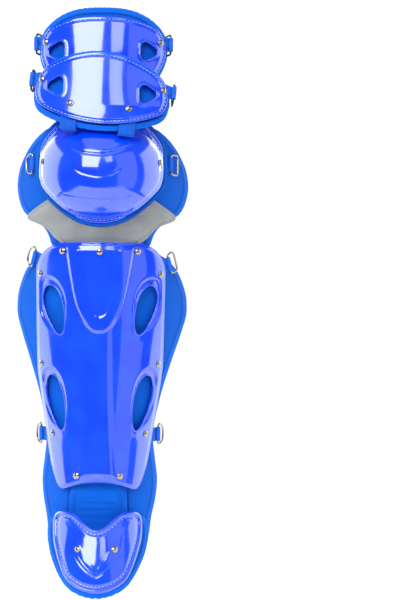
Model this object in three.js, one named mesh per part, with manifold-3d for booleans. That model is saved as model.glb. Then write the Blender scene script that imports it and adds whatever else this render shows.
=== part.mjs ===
// A baseball catcher's leg guard: hard glossy shells over padded cloth wings, two thigh flaps above
// the knee cap, a foot guard on a soft tongue below, and the black knee and shin pads that face the
// leg. Millimetres, +Z up the leg, the guard's front toward -Y. The origin is where the shin seats,
// mid-height on the shin.

import * as THREE from "three";
import { mergeVertices } from "three/addons/utils/BufferGeometryUtils.js";
import Module from "manifold-3d";

const wasm = await Module();
wasm.setup();

// Driving dimensions of the shin, which the rest is stacked on
const SHIN_SHELL_DROP = 93;
const SHIN_SHELL_LENGTH = 280;
const SHIN_SHELL_WIDTH = 149;
const WING_LENGTH = 342;
const WING_SPAN = 201;
const WING_OVERHANG = 70;
const SHIN_PAD_LENGTH = 213;
const SHIN_PAD_WIDTH = 126;

// The knee
const KNEE_PAD_LENGTH = 134;
const KNEE_PAD_WIDTH = 201;
const KNEE_SHELL_LENGTH = 105;
const KNEE_SHELL_WIDTH = 142;
const KNEE_SHELL_RISE = 34;
const KNEE_DOME = 34;
const KNEE_TRIM_MARGIN = 4;
const GUSSET_LENGTH = 92;
const GUSSET_WIDTH = 173;
const KNEE_CUSHION_LENGTH = 170;
const KNEE_CUSHION_WIDTH = 137;
const GEL_PLACE = 0.63;
const GEL_LENGTH = 39;
const GEL_WIDTH = 72.6;

// The two thigh flaps
const TOP_FLAP_LENGTH = 86;
const TOP_FLAP_WIDTH = 149;
const TOP_FLAP_RISE = 170;
const SECOND_FLAP_LENGTH = 67;
const SECOND_FLAP_WIDTH = 157;
const SECOND_FLAP_RISE = 142;
const SECOND_FLAP_TILT = 5;
const FLAP_SIDE_MARGIN = 3;
const TOP_FLAP_HEM = 12;
const SECOND_FLAP_HEM = 8;
const SECOND_RISE = 12;

// The foot guard
const FOOT_PAD_LENGTH = 83;
const FOOT_PAD_WIDTH = 119;
const FOOT_SHELL_LENGTH = 81;
const FOOT_SHELL_WIDTH = 103;
const FOOT_SHELL_LIFT = 4.5;
const FOOT_NOTCH = 19;
const FOOT_DROP = 108;
const FOOT_SAG = 8;
const FOOT_RIVET_PLACE = 20.5;
const TONGUE_LENGTH = 66;
const TONGUE_WIDTH = 66;
const TONGUE_TUCK = 16;

// Relief: the shin shell's crown, the ridge up its middle and the vee it opens into, and the other crowns
const SHIN_CROWN = 9;
const SHIN_RIDGE = 4;
const SHIN_RIDGE_HALF = 10;
const SHIN_VEE_HALF = 31;
const FLAP_CROWN = 4;
const FOOT_CROWN = 6;
// How far the second flap leans out over the knee cap at its lower edge, as a share of its length
const SECOND_FLAP_LEAN = 0.225;

// Walls and stand-offs
const PAD_THICKNESS = 11;
const FLAP_PAD_THICKNESS = 10;
const SHELL_WALL = 3;
const SHELL_STAND_OFF = 2;
const CUSHION_THICKNESS = 16.4;
const GUSSET_WALL = 1.6;
const GEL_WALL = 2.6;
const TONGUE_WALL = 6;
const SEAT = 0.3;
const LAYER_GAP = 0.9;

// Webbing, rings and rivets
const WEBBING = 1.4;
const TAB_WIDTH = 16;
const HINGE_STRAP_WIDTH = 18;
const HINGE_STRAP_PLACE = 33;
const HINGE_STRAP_TOP = 70;
const RING_WIRE = 1.3;
const RING_HEIGHT = 23;
const RING_REACH = 11;
const FLAP_RING_REACH = 13;
const RIVET_RADIUS = 3.8;
const RIVET_HEIGHT = 1.9;
const TAB_TAIL = 5;
const EYE = RING_WIRE + SEAT + WEBBING / 2;
// The shin shell's rivets to each side of its middle, and the share of its length that they lie up it
const SHIN_RIVETS = [
  { name: "top", x: 42.5, up: 0.966 },
  { name: "upper_side", x: 68.5, up: 0.875 },
  { name: "middle_side", x: 66.5, up: 0.512 },
  { name: "lower_side", x: 53, up: 0.228 },
  { name: "base", x: 24.5, up: 0.06 },
];

// Windows cut through the shells
const SHIN_WINDOW_HALF_LENGTH = 29;
const SHIN_WINDOW_HALF_WIDTH = 11;
const FLAP_WINDOW_RADIUS = 10.5;
const FLAP_WINDOW_PLACE = 51;
const SHIN_UPPER_WINDOW = { x: 51, up: 0.73, lean: 15, longer: 1 };
const SHIN_LOWER_WINDOW = { x: 48, up: 0.355, lean: 12, longer: 1.12 };

const shinBase = -SHIN_SHELL_DROP;
const shinTop = shinBase + SHIN_SHELL_LENGTH;
const kneeBase = shinTop - 5;
const kneeShellBase = kneeBase + KNEE_SHELL_RISE;
const kneeTop = kneeBase + KNEE_PAD_LENGTH;
const topFlapBase = kneeBase + TOP_FLAP_RISE;
const secondFlapBase = kneeBase + SECOND_FLAP_RISE;
const footBase = shinBase - FOOT_DROP;
const secondShellLength = SECOND_FLAP_LENGTH - SECOND_FLAP_HEM - 2;

// The heights at which rings hang
const RING_PLACES = {
  knee: kneeBase + 96,
  shinUpper: shinTop - 20,
  shinLower: shinBase + 62,
  topFlap: topFlapBase + 0.74 * TOP_FLAP_LENGTH,
  secondFlap: secondFlapBase + 0.62 * SECOND_FLAP_LENGTH,
};

// The leg that the guard is bent round, as level stations. forward is how far the cloth's front lies
// before the leg, reach the half width of the oval that it is bent to and bow that oval's depth, as
// shares of the sizes below.
const FORWARD = 42;
const REACH = 108;
const BOW = 128;
const LEG_STATIONS = [
  { at: footBase, forward: 0.76, reach: 0.7, bow: 0.78 },
  { at: shinBase - 34, forward: 0.69, reach: 0.7, bow: 0.78 },
  { at: shinBase + 16, forward: 0.64, reach: 0.71, bow: 0.8 },
  { at: shinBase + 73, forward: 0.67, reach: 0.74, bow: 0.82 },
  { at: shinBase + 143, forward: 0.71, reach: 0.89, bow: 0.92 },
  { at: shinTop - 78, forward: 0.76, reach: 1, bow: 1 },
  { at: shinTop, forward: 0.86, reach: 1, bow: 0.97 },
  { at: kneeBase + 72, forward: 1, reach: 1, bow: 0.94 },
  { at: kneeTop, forward: 0.79, reach: 0.94, bow: 0.82 },
  { at: topFlapBase + 48, forward: 0.5, reach: 0.88, bow: 0.66 },
  { at: topFlapBase + 104, forward: 0.31, reach: 0.88, bow: 0.62 },
];
// The instep that the foot guard covers, leaning forward toward the toes
const INSTEP_FORWARD = 84;
const INSTEP_REACH = 74;
const INSTEP_BOW = 104;
const INSTEP_STATIONS = [
  { at: footBase - 8, forward: 1, reach: 1, bow: 1 },
  { at: footBase + 45, forward: 0.78, reach: 0.98, bow: 1 },
  { at: footBase + 90, forward: 0.512, reach: 0.96, bow: 1 },
];

// Outlines: up is the share of the piece's length from its lower edge, half the share of its half width.
const TOP_FLAP_ROWS = [
  { up: 0, half: 0.45 },
  { up: 0.07, half: 0.585 },
  { up: 0.2, half: 0.78 },
  { up: 0.33, half: 0.9 },
  { up: 0.6, half: 1 },
  { up: 0.8, half: 0.98 },
  { up: 0.94, half: 0.9 },
  { up: 1, half: 0.83 },
];
const SECOND_FLAP_ROWS = [
  { up: 0, half: 0.78 },
  { up: 0.07, half: 0.89 },
  { up: 0.2, half: 0.97 },
  { up: 0.4, half: 1 },
  { up: 0.64, half: 0.965 },
  { up: 0.82, half: 0.87 },
  { up: 0.95, half: 0.73 },
  { up: 1, half: 0.64 },
];
const KNEE_PAD_ROWS = [
  { up: 0, half: 0.56 },
  { up: 0.1, half: 0.6 },
  { up: 0.17, half: 0.66 },
  { up: 0.23, half: 0.79 },
  { up: 0.29, half: 0.9 },
  { up: 0.41, half: 0.975 },
  { up: 0.53, half: 1 },
  { up: 0.65, half: 0.98 },
  { up: 0.8, half: 0.895 },
  { up: 0.92, half: 0.78 },
  { up: 1, half: 0.66 },
];
const KNEE_SHELL_ROWS = [
  { up: 0, half: 0.4 },
  { up: 0.06, half: 0.55 },
  { up: 0.13, half: 0.68 },
  { up: 0.24, half: 0.85 },
  { up: 0.34, half: 0.965 },
  { up: 0.47, half: 1 },
  { up: 0.72, half: 0.985 },
  { up: 0.85, half: 0.9 },
  { up: 0.95, half: 0.77 },
  { up: 1, half: 0.69 },
];
const GUSSET_ROWS = [
  { up: 0, half: 0.42 },
  { up: 0.2, half: 0.47 },
  { up: 0.41, half: 0.5 },
  { up: 0.47, half: 0.6 },
  { up: 0.53, half: 0.65 },
  { up: 0.61, half: 0.73 },
  { up: 0.67, half: 0.86 },
  { up: 0.71, half: 0.98 },
  { up: 0.75, half: 1 },
  { up: 0.83, half: 0.9 },
  { up: 0.92, half: 0.76 },
  { up: 1, half: 0.62 },
];
// A wing's inner and outer edge, as shares of half the span of the two wings
const WING_ROWS = [
  { up: 0, inner: 0.42, outer: 0.51 },
  { up: 0.02, inner: 0.37, outer: 0.553 },
  { up: 0.05, inner: 0.325, outer: 0.585 },
  { up: 0.11, inner: 0.28, outer: 0.61 },
  { up: 0.17, inner: 0.26, outer: 0.655 },
  { up: 0.23, inner: 0.26, outer: 0.675 },
  { up: 0.31, inner: 0.26, outer: 0.645 },
  { up: 0.38, inner: 0.26, outer: 0.62 },
  { up: 0.5, inner: 0.26, outer: 0.69 },
  { up: 0.62, inner: 0.26, outer: 0.81 },
  { up: 0.73, inner: 0.262, outer: 0.935 },
  { up: 0.8, inner: 0.28, outer: 0.995 },
  { up: 0.84, inner: 0.32, outer: 0.99 },
  { up: 0.9, inner: 0.37, outer: 0.935 },
  { up: 0.95, inner: 0.4, outer: 0.845 },
  { up: 0.985, inner: 0.44, outer: 0.7 },
  { up: 1, inner: 0.49, outer: 0.6 },
];
const SHIN_SHELL_ROWS = [
  { up: 0, half: 0.57 },
  { up: 0.02, half: 0.635 },
  { up: 0.05, half: 0.68 },
  { up: 0.11, half: 0.745 },
  { up: 0.26, half: 0.838 },
  { up: 0.42, half: 0.93 },
  { up: 0.5, half: 0.968 },
  { up: 0.7, half: 0.985 },
  { up: 0.89, half: 0.995 },
  { up: 0.93, half: 0.96 },
  { up: 0.975, half: 0.845 },
  { up: 1, half: 0.66 },
];
const KNEE_CUSHION_ROWS = [
  { up: 0, half: 0.23 },
  { up: 0.06, half: 0.385 },
  { up: 0.15, half: 0.46 },
  { up: 0.24, half: 0.5 },
  { up: 0.3, half: 0.55 },
  { up: 0.36, half: 0.65 },
  { up: 0.5, half: 0.85 },
  { up: 0.66, half: 0.958 },
  { up: 0.81, half: 1 },
  { up: 0.9, half: 0.955 },
  { up: 0.96, half: 0.84 },
  { up: 1, half: 0.67 },
];
const SHIN_PAD_ROWS = [
  { up: 0, half: 0.49 },
  { up: 0.06, half: 0.62 },
  { up: 0.17, half: 0.76 },
  { up: 0.36, half: 0.84 },
  { up: 0.57, half: 0.91 },
  { up: 0.7, half: 0.97 },
  { up: 0.81, half: 1 },
  { up: 0.91, half: 0.96 },
  { up: 0.97, half: 0.82 },
  { up: 1, half: 0.66 },
];
const FOOT_PAD_ROWS = [
  { up: 0, half: 0.55 },
  { up: 0.12, half: 0.7 },
  { up: 0.28, half: 0.83 },
  { up: 0.45, half: 0.933 },
  { up: 0.63, half: 0.987 },
  { up: 0.77, half: 1 },
  { up: 0.89, half: 0.965 },
  { up: 1, half: 0.82 },
];
const FOOT_SHELL_ROWS = [
  { up: 0, half: 0.5 },
  { up: 0.09, half: 0.675 },
  { up: 0.27, half: 0.817 },
  { up: 0.48, half: 0.923 },
  { up: 0.66, half: 0.987 },
  { up: 0.84, half: 1 },
  { up: 0.95, half: 0.95 },
  { up: 1, half: 0.86 },
];
const TONGUE_ROWS = [
  { up: 0, half: 0.86 },
  { up: 0.2, half: 1 },
  { up: 0.6, half: 1 },
  { up: 1, half: 0.84 },
];
const GEL_ROWS = [
  { up: 0, half: 0.36 },
  { up: 0.27, half: 0.68 },
  { up: 0.5, half: 0.96 },
  { up: 0.57, half: 1 },
  { up: 0.66, half: 0.995 },
  { up: 1, half: 0.9 },
];

const lerp = (a, b, t) => a + (b - a) * t;
const smooth = (edge0, edge1, v) => {
  const t = Math.min(1, Math.max(0, (v - edge0) / (edge1 - edge0)));
  return t * t * (3 - 2 * t);
};
const radians = THREE.MathUtils.degToRad;

// Reads one column of a table of rows at a place between them, along a curve that never overshoots a row.
function along(rows, key, column, place) {
  const last = rows.length - 1;
  if (place <= rows[0][key]) return rows[0][column];
  if (place >= rows[last][key]) return rows[last][column];
  const i = rows.findIndex((row) => row[key] > place) - 1;
  const slope = (k) => (rows[k + 1][column] - rows[k][column]) / (rows[k + 1][key] - rows[k][key]);
  const tangent = (k) => {
    if (k === 0) return slope(0);
    if (k === last) return slope(last - 1);
    const before = slope(k - 1);
    const after = slope(k);
    return before * after <= 0 ? 0 : (2 * before * after) / (before + after);
  };
  const span = rows[i + 1][key] - rows[i][key];
  const t = (place - rows[i][key]) / span;
  const rise = rows[i + 1][column] - rows[i][column];
  const bendIn = tangent(i) * span;
  const bendOut = tangent(i + 1) * span;
  const cubic = 3 * rise - 2 * bendIn - bendOut + t * (bendIn + bendOut - 2 * rise);
  return rows[i][column] + t * (bendIn + t * cubic);
}

// A form gives the point that lies a distance out from its surface, for a place seen from the front.
function makeForm(stations, forward, reach, bow) {
  const depth = (x, z) => {
    const share = Math.min(0.97, Math.abs(x) / (reach * along(stations, "at", "reach", z)));
    const oval = 1 - Math.sqrt(1 - share * share);
    return bow * along(stations, "at", "bow", z) * oval - forward * along(stations, "at", "forward", z);
  };
  const normal = (x, z) => {
    const step = 0.5;
    const acrossSlope = (depth(x + step, z) - depth(x - step, z)) / (2 * step);
    const upSlope = (depth(x, z + step) - depth(x, z - step)) / (2 * step);
    return new THREE.Vector3(acrossSlope, -1, upSlope).normalize();
  };
  const point = (x, z, out) => new THREE.Vector3(x, depth(x, z), z).addScaledVector(normal(x, z), out);
  // The place on the form from which the point that lies out from it is seen at x and z from the front
  const foot = (x, z, out) => {
    const at = { x, z };
    for (let k = 0; k < 14; k++) {
      const seen = point(at.x, at.z, out);
      at.x += 0.6 * (x - seen.x);
      at.z += 0.6 * (z - seen.z);
    }
    return at;
  };
  const seen = (x, z, out) => {
    const at = foot(x, z, out);
    return point(at.x, at.z, out);
  };
  return { point, foot, seen };
}
const leg = makeForm(LEG_STATIONS, FORWARD, REACH, BOW);
const instep = makeForm(INSTEP_STATIONS, INSTEP_FORWARD, INSTEP_REACH, INSTEP_BOW);

// An outline maps t, 0 to 1 across, and v, 0 to 1 up, to a place seen from the front. rise lifts the
// middle of the upper edge, drop lowers the middle of the lower one, notch is a heart's dip in the
// upper edge and tilt turns it.
function outlineOf({ rows, base, length, width, rise = 0, drop = 0, notch = 0, tilt = 0, side = 1 }) {
  const halfWidth = width / 2;
  return (t, v) => {
    const outer = halfWidth * along(rows, "up", rows[0].inner === undefined ? "half" : "outer", v);
    const inner = rows[0].inner === undefined ? -outer : halfWidth * along(rows, "up", "inner", v);
    const u = 2 * t - 1;
    const round = 1 - u * u;
    const heart = Math.abs(u) < 0.75 ? (1 + Math.cos((Math.PI * u) / 0.75)) / 2 : 0;
    const x = side * lerp(inner, outer, t);
    const arched = rise * round * v * v - drop * round * (1 - v) * (1 - v);
    const z = base + v * length + arched - notch * heart * v * v;
    const turn = radians(tilt);
    const middle = base + length / 2;
    return {
      x: x * Math.cos(turn) + (z - middle) * Math.sin(turn),
      z: middle + (z - middle) * Math.cos(turn) - x * Math.sin(turn),
      edge: Math.min(Math.min(t, 1 - t) * (outer - inner), v * length, (1 - v) * length),
    };
  };
}

function geometryOf(positions, faces) {
  const geometry = new THREE.BufferGeometry();
  geometry.setAttribute("position", new THREE.Float32BufferAttribute(positions, 3));
  geometry.setIndex(faces);
  return geometry;
}

// A closed sheet bent over a form: front and back give the distance out from the form, and over the
// roll distance from the edge both close to a rim of the given thickness. The outline is the one seen
// at the distance drawn.
function plate(settings) {
  const { form = leg, outline, columns, levels, front, back, roll = 0, rim = 1.6, side = 1 } = settings;
  const { drawn = front } = settings;
  const spread = (k, n) => lerp(k / n, (1 - Math.cos((Math.PI * k) / n)) / 2, 0.7);
  const positions = [];
  const layer = (columns + 1) * (levels + 1);
  for (const outer of [true, false])
    for (let j = 0; j <= levels; j++)
      for (let i = 0; i <= columns; i++) {
        const place = outline(spread(i, columns), spread(j, levels));
        const full = front(place.x, place.z);
        const deep = back(place.x, place.z);
        const open = roll > 0 ? Math.sqrt(1 - (1 - Math.min(1, place.edge / roll)) ** 2) : 1;
        const half = roll > 0 ? lerp(rim / 2, (full - deep) / 2, open) : (full - deep) / 2;
        const out = (full + deep) / 2 + (outer ? half : -half);
        const foot = form.foot(place.x, place.z, drawn(place.x, place.z));
        positions.push(...form.point(foot.x, foot.z, out).toArray());
      }
  const faces = [];
  const quad = (a, b, c, d) => {
    if (side > 0) faces.push(a, b, c, a, c, d);
    else faces.push(a, c, b, a, d, c);
  };
  const at = (i, j, outer) => (outer ? 0 : layer) + j * (columns + 1) + i;
  for (let j = 0; j < levels; j++)
    for (let i = 0; i < columns; i++) {
      quad(at(i, j, true), at(i + 1, j, true), at(i + 1, j + 1, true), at(i, j + 1, true));
      quad(at(i, j, false), at(i, j + 1, false), at(i + 1, j + 1, false), at(i + 1, j, false));
    }
  for (let i = 0; i < columns; i++) {
    quad(at(i, 0, false), at(i + 1, 0, false), at(i + 1, 0, true), at(i, 0, true));
    quad(at(i, levels, true), at(i + 1, levels, true), at(i + 1, levels, false), at(i, levels, false));
  }
  for (let j = 0; j < levels; j++) {
    quad(at(0, j, true), at(0, j + 1, true), at(0, j + 1, false), at(0, j, false));
    quad(at(columns, j, false), at(columns, j + 1, false), at(columns, j + 1, true), at(columns, j, true));
  }
  return geometryOf(positions, faces);
}

function solidOf(geometry) {
  const bare = geometry.clone();
  bare.deleteAttribute("normal");
  bare.deleteAttribute("uv");
  const merged = mergeVertices(bare, 1e-3);
  return new wasm.Manifold(
    new wasm.Mesh({
      numProp: 3,
      vertProperties: merged.attributes.position.array,
      triVerts: new Uint32Array(merged.index.array),
    }),
  );
}

function cut(geometry, cutters) {
  let solid = solidOf(geometry);
  for (const cutter of cutters) solid = solid.subtract(solidOf(cutter));
  const mesh = solid.getMesh();
  return geometryOf(Array.from(mesh.vertProperties), Array.from(mesh.triVerts));
}

// A prism along Y through a shell, from an outline seen from the front
function prism(points, near, far) {
  const shape = new THREE.Shape(points);
  const geometry = new THREE.ExtrudeGeometry(shape, { depth: far - near, bevelEnabled: false });
  geometry.rotateX(Math.PI / 2);
  geometry.translate(0, far, 0);
  return geometry;
}

// A leaf, blunt above and narrower below, leaning outward at its top
function leafPoints(x, z, halfLength, halfWidth, lean, sides) {
  const turn = radians(lean) * Math.sign(x);
  return Array.from({ length: sides }, (_, k) => {
    const angle = (2 * Math.PI * k) / sides;
    const alongAxis = halfLength * Math.sin(angle);
    const across = halfWidth * Math.cos(angle) * (1 + 0.18 * Math.sin(angle));
    return new THREE.Vector2(
      x + across * Math.cos(turn) + alongAxis * Math.sin(turn),
      z + alongAxis * Math.cos(turn) - across * Math.sin(turn),
    );
  });
}

// A rounded triangle that points outward
function petalPoints(x, z, radius, sides) {
  return Array.from({ length: sides }, (_, k) => {
    const angle = (2 * Math.PI * k) / sides;
    const reachOut = radius * (1 + 0.13 * Math.cos(3 * (angle - radians(x < 0 ? 60 : 120))));
    return new THREE.Vector2(x + reachOut * 0.94 * Math.cos(angle), z + reachOut * Math.sin(angle));
  });
}

const guard = new THREE.Group();
guard.name = "catcher_leg_guard";
const finishes = {
  shell: new THREE.MeshStandardMaterial({ color: 0x0b4df0, roughness: 0.12, metalness: 0 }),
  cloth: new THREE.MeshStandardMaterial({ color: 0x1e6fe0, roughness: 0.85, metalness: 0 }),
  webbing: new THREE.MeshStandardMaterial({ color: 0x2468dc, roughness: 0.75, metalness: 0 }),
  gusset: new THREE.MeshStandardMaterial({ color: 0x9a9a98, roughness: 0.5, metalness: 0 }),
  cushion: new THREE.MeshStandardMaterial({ color: 0x17191c, roughness: 0.8, metalness: 0 }),
  gel: new THREE.MeshStandardMaterial({ color: 0xb6cf3e, roughness: 0.2, metalness: 0 }),
  metal: new THREE.MeshStandardMaterial({ color: 0xb8b4ab, roughness: 0.25, metalness: 1 }),
};
function add(name, geometry, finish, parent = guard) {
  const mesh = new THREE.Mesh(geometry, finishes[finish]);
  mesh.name = name;
  parent.add(mesh);
  return mesh;
}

// Distances out from the forms that neighbours share
const clothFront = () => 0;
const clothBack = () => -PAD_THICKNESS;
const shellBack = SHELL_STAND_OFF;
const gussetFront = LAYER_GAP + GUSSET_WALL;
const trimBack = gussetFront + LAYER_GAP;
const trimFront = trimBack + SHELL_STAND_OFF;
const cushionFront = -PAD_THICKNESS - 1.3 * LAYER_GAP;
const cushionBack = cushionFront - CUSHION_THICKNESS;
const cushionEdge = cushionFront - 0.45 * CUSHION_THICKNESS;

// The shin: two wings of padded cloth and the long shell that bridges them
function buildShinWings() {
  for (const side of [-1, 1])
    add(
      side < 0 ? "shin_wing_left" : "shin_wing_right",
      plate({
        outline: outlineOf({
          rows: WING_ROWS,
          base: shinBase - WING_OVERHANG,
          length: WING_LENGTH,
          width: WING_SPAN,
          rise: 3,
          drop: 5,
          side,
        }),
        columns: 7,
        levels: 22,
        front: clothFront,
        back: clothBack,
        roll: 6,
        rim: 6,
        side,
      }),
      "cloth",
    );
}

// How far the shin shell's front stands out: a crown across it, a ridge up its middle and the vee that
// caps the ridge
function shinRelief(x, z) {
  const up = (z - shinBase) / SHIN_SHELL_LENGTH;
  const halfWidth = (SHIN_SHELL_WIDTH / 2) * along(SHIN_SHELL_ROWS, "up", "half", up);
  const share = Math.min(1, Math.abs(x) / halfWidth);
  const crown = SHIN_CROWN * (1 - share * share);
  const ridge = SHIN_RIDGE * (1 - smooth(SHIN_RIDGE_HALF, SHIN_RIDGE_HALF + 5, Math.abs(x)));
  const veeHalf = lerp(SHIN_RIDGE_HALF, SHIN_VEE_HALF, Math.sqrt(Math.max(0, (up - 0.64) / 0.36)));
  const vee = SHIN_RIDGE * (1 - smooth(veeHalf, veeHalf + 5, Math.abs(x)));
  return crown + (up > 0.64 ? vee : ridge);
}
const shinFront = (x, z) => shellBack + SHELL_WALL + shinRelief(x, z);

function buildShinShell() {
  const shell = plate({
    outline: outlineOf({
      rows: SHIN_SHELL_ROWS,
      base: shinBase,
      length: SHIN_SHELL_LENGTH,
      width: SHIN_SHELL_WIDTH,
      drop: -10,
    }),
    columns: 18,
    levels: 20,
    front: shinFront,
    back: (x, z) => shinFront(x, z) - SHELL_WALL,
  });
  const windows = [];
  for (const side of [-1, 1])
    for (const w of [SHIN_UPPER_WINDOW, SHIN_LOWER_WINDOW])
      windows.push(
        prism(
          leafPoints(
            side * w.x,
            shinBase + w.up * SHIN_SHELL_LENGTH,
            SHIN_WINDOW_HALF_LENGTH * w.longer,
            SHIN_WINDOW_HALF_WIDTH / w.longer,
            w.lean,
            16,
          ),
          -FORWARD * 3,
          FORWARD * 3,
        ),
      );
  add("shin_shell", cut(shell, windows), "shell");
}

function buildShinPad() {
  add(
    "shin_pad",
    plate({
      outline: outlineOf({
        rows: SHIN_PAD_ROWS,
        base: -SHIN_PAD_LENGTH / 2,
        length: SHIN_PAD_LENGTH,
        width: SHIN_PAD_WIDTH,
        rise: -3,
        drop: -2,
      }),
      columns: 10,
      levels: 12,
      front: () => cushionFront,
      back: (x, z) => {
        const across = Math.abs(x) / (SHIN_PAD_WIDTH / 2);
        const up = Math.abs(z) / (SHIN_PAD_LENGTH / 2);
        return lerp(cushionBack, cushionEdge, Math.max(smooth(0.35, 1, across), smooth(0.6, 1.1, up)));
      },
      drawn: () => cushionFront,
      roll: 10,
      rim: 4,
    }),
    "cushion",
  );
}

// The knee: padded cloth wings, the grey gusset sewn over its lower half, and the domed cap on a cloth
// trim
function buildKneePad() {
  add(
    "knee_pad",
    plate({
      outline: outlineOf({
        rows: KNEE_PAD_ROWS,
        base: kneeBase,
        length: KNEE_PAD_LENGTH,
        width: KNEE_PAD_WIDTH,
        rise: 15,
      }),
      columns: 18,
      levels: 12,
      front: clothFront,
      back: clothBack,
      roll: 8,
      rim: 5,
    }),
    "cloth",
  );
  add(
    "knee_gusset",
    plate({
      outline: outlineOf({
        rows: GUSSET_ROWS,
        base: kneeShellBase + 24 - GUSSET_LENGTH,
        length: GUSSET_LENGTH,
        width: GUSSET_WIDTH,
      }),
      columns: 16,
      levels: 12,
      front: () => gussetFront,
      back: () => LAYER_GAP,
    }),
    "gusset",
  );
}

// The cap's dome over the sewn edge, full in the middle and shallower toward the flaps
function kneeRelief(x, z) {
  const across = Math.abs(x) / (KNEE_SHELL_WIDTH / 2);
  const up = (z - kneeShellBase) / KNEE_SHELL_LENGTH - 0.5;
  const round = Math.max(0, 1 - across * across * 0.97 - Math.abs(up * 1.9) ** 2.3);
  return KNEE_DOME * round ** 0.72;
}
const kneeFront = (x, z) => trimFront + SEAT + SHELL_WALL + kneeRelief(x, z);
function buildKneeShell() {
  const outline = (margin) =>
    outlineOf({
      rows: KNEE_SHELL_ROWS,
      base: kneeShellBase - margin,
      length: KNEE_SHELL_LENGTH + 2 * margin,
      width: KNEE_SHELL_WIDTH + 2 * margin,
      rise: 9,
      drop: 7,
    });
  add(
    "knee_trim",
    plate({
      outline: outline(KNEE_TRIM_MARGIN),
      columns: 12,
      levels: 10,
      front: () => trimFront,
      back: () => trimBack,
    }),
    "cloth",
  );
  add(
    "knee_shell",
    plate({
      outline: outline(0),
      columns: 16,
      levels: 16,
      front: kneeFront,
      back: (x, z) => kneeFront(x, z) - SHELL_WALL,
    }),
    "shell",
  );
}

// The black cushion behind the knee, with the gel panel let into it
function buildKneeCushion() {
  const base = shinTop - 76;
  const gelBase = base + GEL_PLACE * KNEE_CUSHION_LENGTH;
  const gelBack = cushionFront - CUSHION_THICKNESS * 0.55;
  const gelOutline = (margin) =>
    outlineOf({
      rows: GEL_ROWS,
      base: gelBase - margin,
      length: GEL_LENGTH + 2 * margin,
      width: GEL_WIDTH + 2 * margin,
      rise: 2,
      drop: 8,
    });
  const cushion = plate({
    outline: outlineOf({
      rows: KNEE_CUSHION_ROWS,
      base,
      length: KNEE_CUSHION_LENGTH,
      width: KNEE_CUSHION_WIDTH,
      rise: 6,
      drop: 6,
    }),
    columns: 16,
    levels: 14,
    front: () => cushionFront,
    back: (x) => lerp(cushionBack, cushionEdge, smooth(0.4, 1, Math.abs(x) / (KNEE_CUSHION_WIDTH / 2))),
    drawn: () => cushionFront,
    roll: 10,
    rim: 4,
  });
  const pocket = plate({
    outline: gelOutline(1.5),
    columns: 6,
    levels: 6,
    front: () => gelBack + GEL_WALL + LAYER_GAP,
    back: () => cushionBack - 10,
    drawn: () => gelBack,
  });
  add("knee_cushion", cut(cushion, [pocket]), "cushion");
  add(
    "gel_window",
    plate({
      outline: gelOutline(0),
      columns: 6,
      levels: 6,
      front: () => gelBack + GEL_WALL,
      back: () => gelBack,
      drawn: () => gelBack,
      roll: 5,
      rim: 1.2,
    }),
    "gel",
  );
}

// The thigh flaps: each a padded D of cloth with a windowed shell sewn on its front
const topFlap = { rows: TOP_FLAP_ROWS, base: topFlapBase, length: TOP_FLAP_LENGTH, width: TOP_FLAP_WIDTH };
const secondFlap = {
  rows: SECOND_FLAP_ROWS,
  base: secondFlapBase,
  length: SECOND_FLAP_LENGTH,
  width: SECOND_FLAP_WIDTH,
};
const flapCrown = (flap, x, z) => {
  const across = Math.min(1, Math.abs(x) / (flap.width / 2));
  const up = Math.min(1, Math.abs((z - flap.base) / flap.length - 0.5) * 1.6);
  return FLAP_CROWN * (1 - across * across) * (1 - up * up);
};
const topShellFront = (x, z) => shellBack + SHELL_WALL + flapCrown(topFlap, x, z);
// The second flap lies over the first one's shell and leans out over the knee cap's upper edge.
const secondPadBack = (x, z) => {
  const below = Math.max(0, secondFlapBase + SECOND_FLAP_LENGTH - z) / SECOND_FLAP_LENGTH;
  const lean = SECOND_FLAP_LEAN * SECOND_FLAP_LENGTH * below * below;
  return topShellFront(x, z) + WEBBING + 2 * LAYER_GAP + lean;
};
const secondPadFront = (x, z) => secondPadBack(x, z) + FLAP_PAD_THICKNESS;
const secondShellFront = (x, z) =>
  secondPadFront(x, z) + shellBack + SHELL_WALL + flapCrown(secondFlap, x, z);

function buildTopFlap() {
  add(
    "top_flap_pad",
    plate({
      outline: outlineOf({ ...topFlap, rise: 17, drop: 7 }),
      columns: 12,
      levels: 10,
      front: clothFront,
      back: () => -FLAP_PAD_THICKNESS,
      roll: 8,
      rim: 4,
    }),
    "cloth",
  );
  const shell = plate({
    outline: outlineOf({
      rows: TOP_FLAP_ROWS,
      base: topFlapBase + FLAP_SIDE_MARGIN * 2,
      length: TOP_FLAP_LENGTH - FLAP_SIDE_MARGIN * 3 - 0.5 * TOP_FLAP_HEM + 4,
      width: TOP_FLAP_WIDTH - 2 * FLAP_SIDE_MARGIN,
      rise: 11,
      drop: 7,
    }),
    columns: 14,
    levels: 8,
    front: topShellFront,
    back: (x, z) => topShellFront(x, z) - SHELL_WALL,
  });
  const z = topFlapBase + 0.62 * TOP_FLAP_LENGTH;
  const windows = [-1, 1].map((side) =>
    prism(petalPoints(side * FLAP_WINDOW_PLACE, z, FLAP_WINDOW_RADIUS, 12), -FORWARD * 3, FORWARD * 2),
  );
  add("top_flap_shell", cut(shell, windows), "shell");
}

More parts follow.
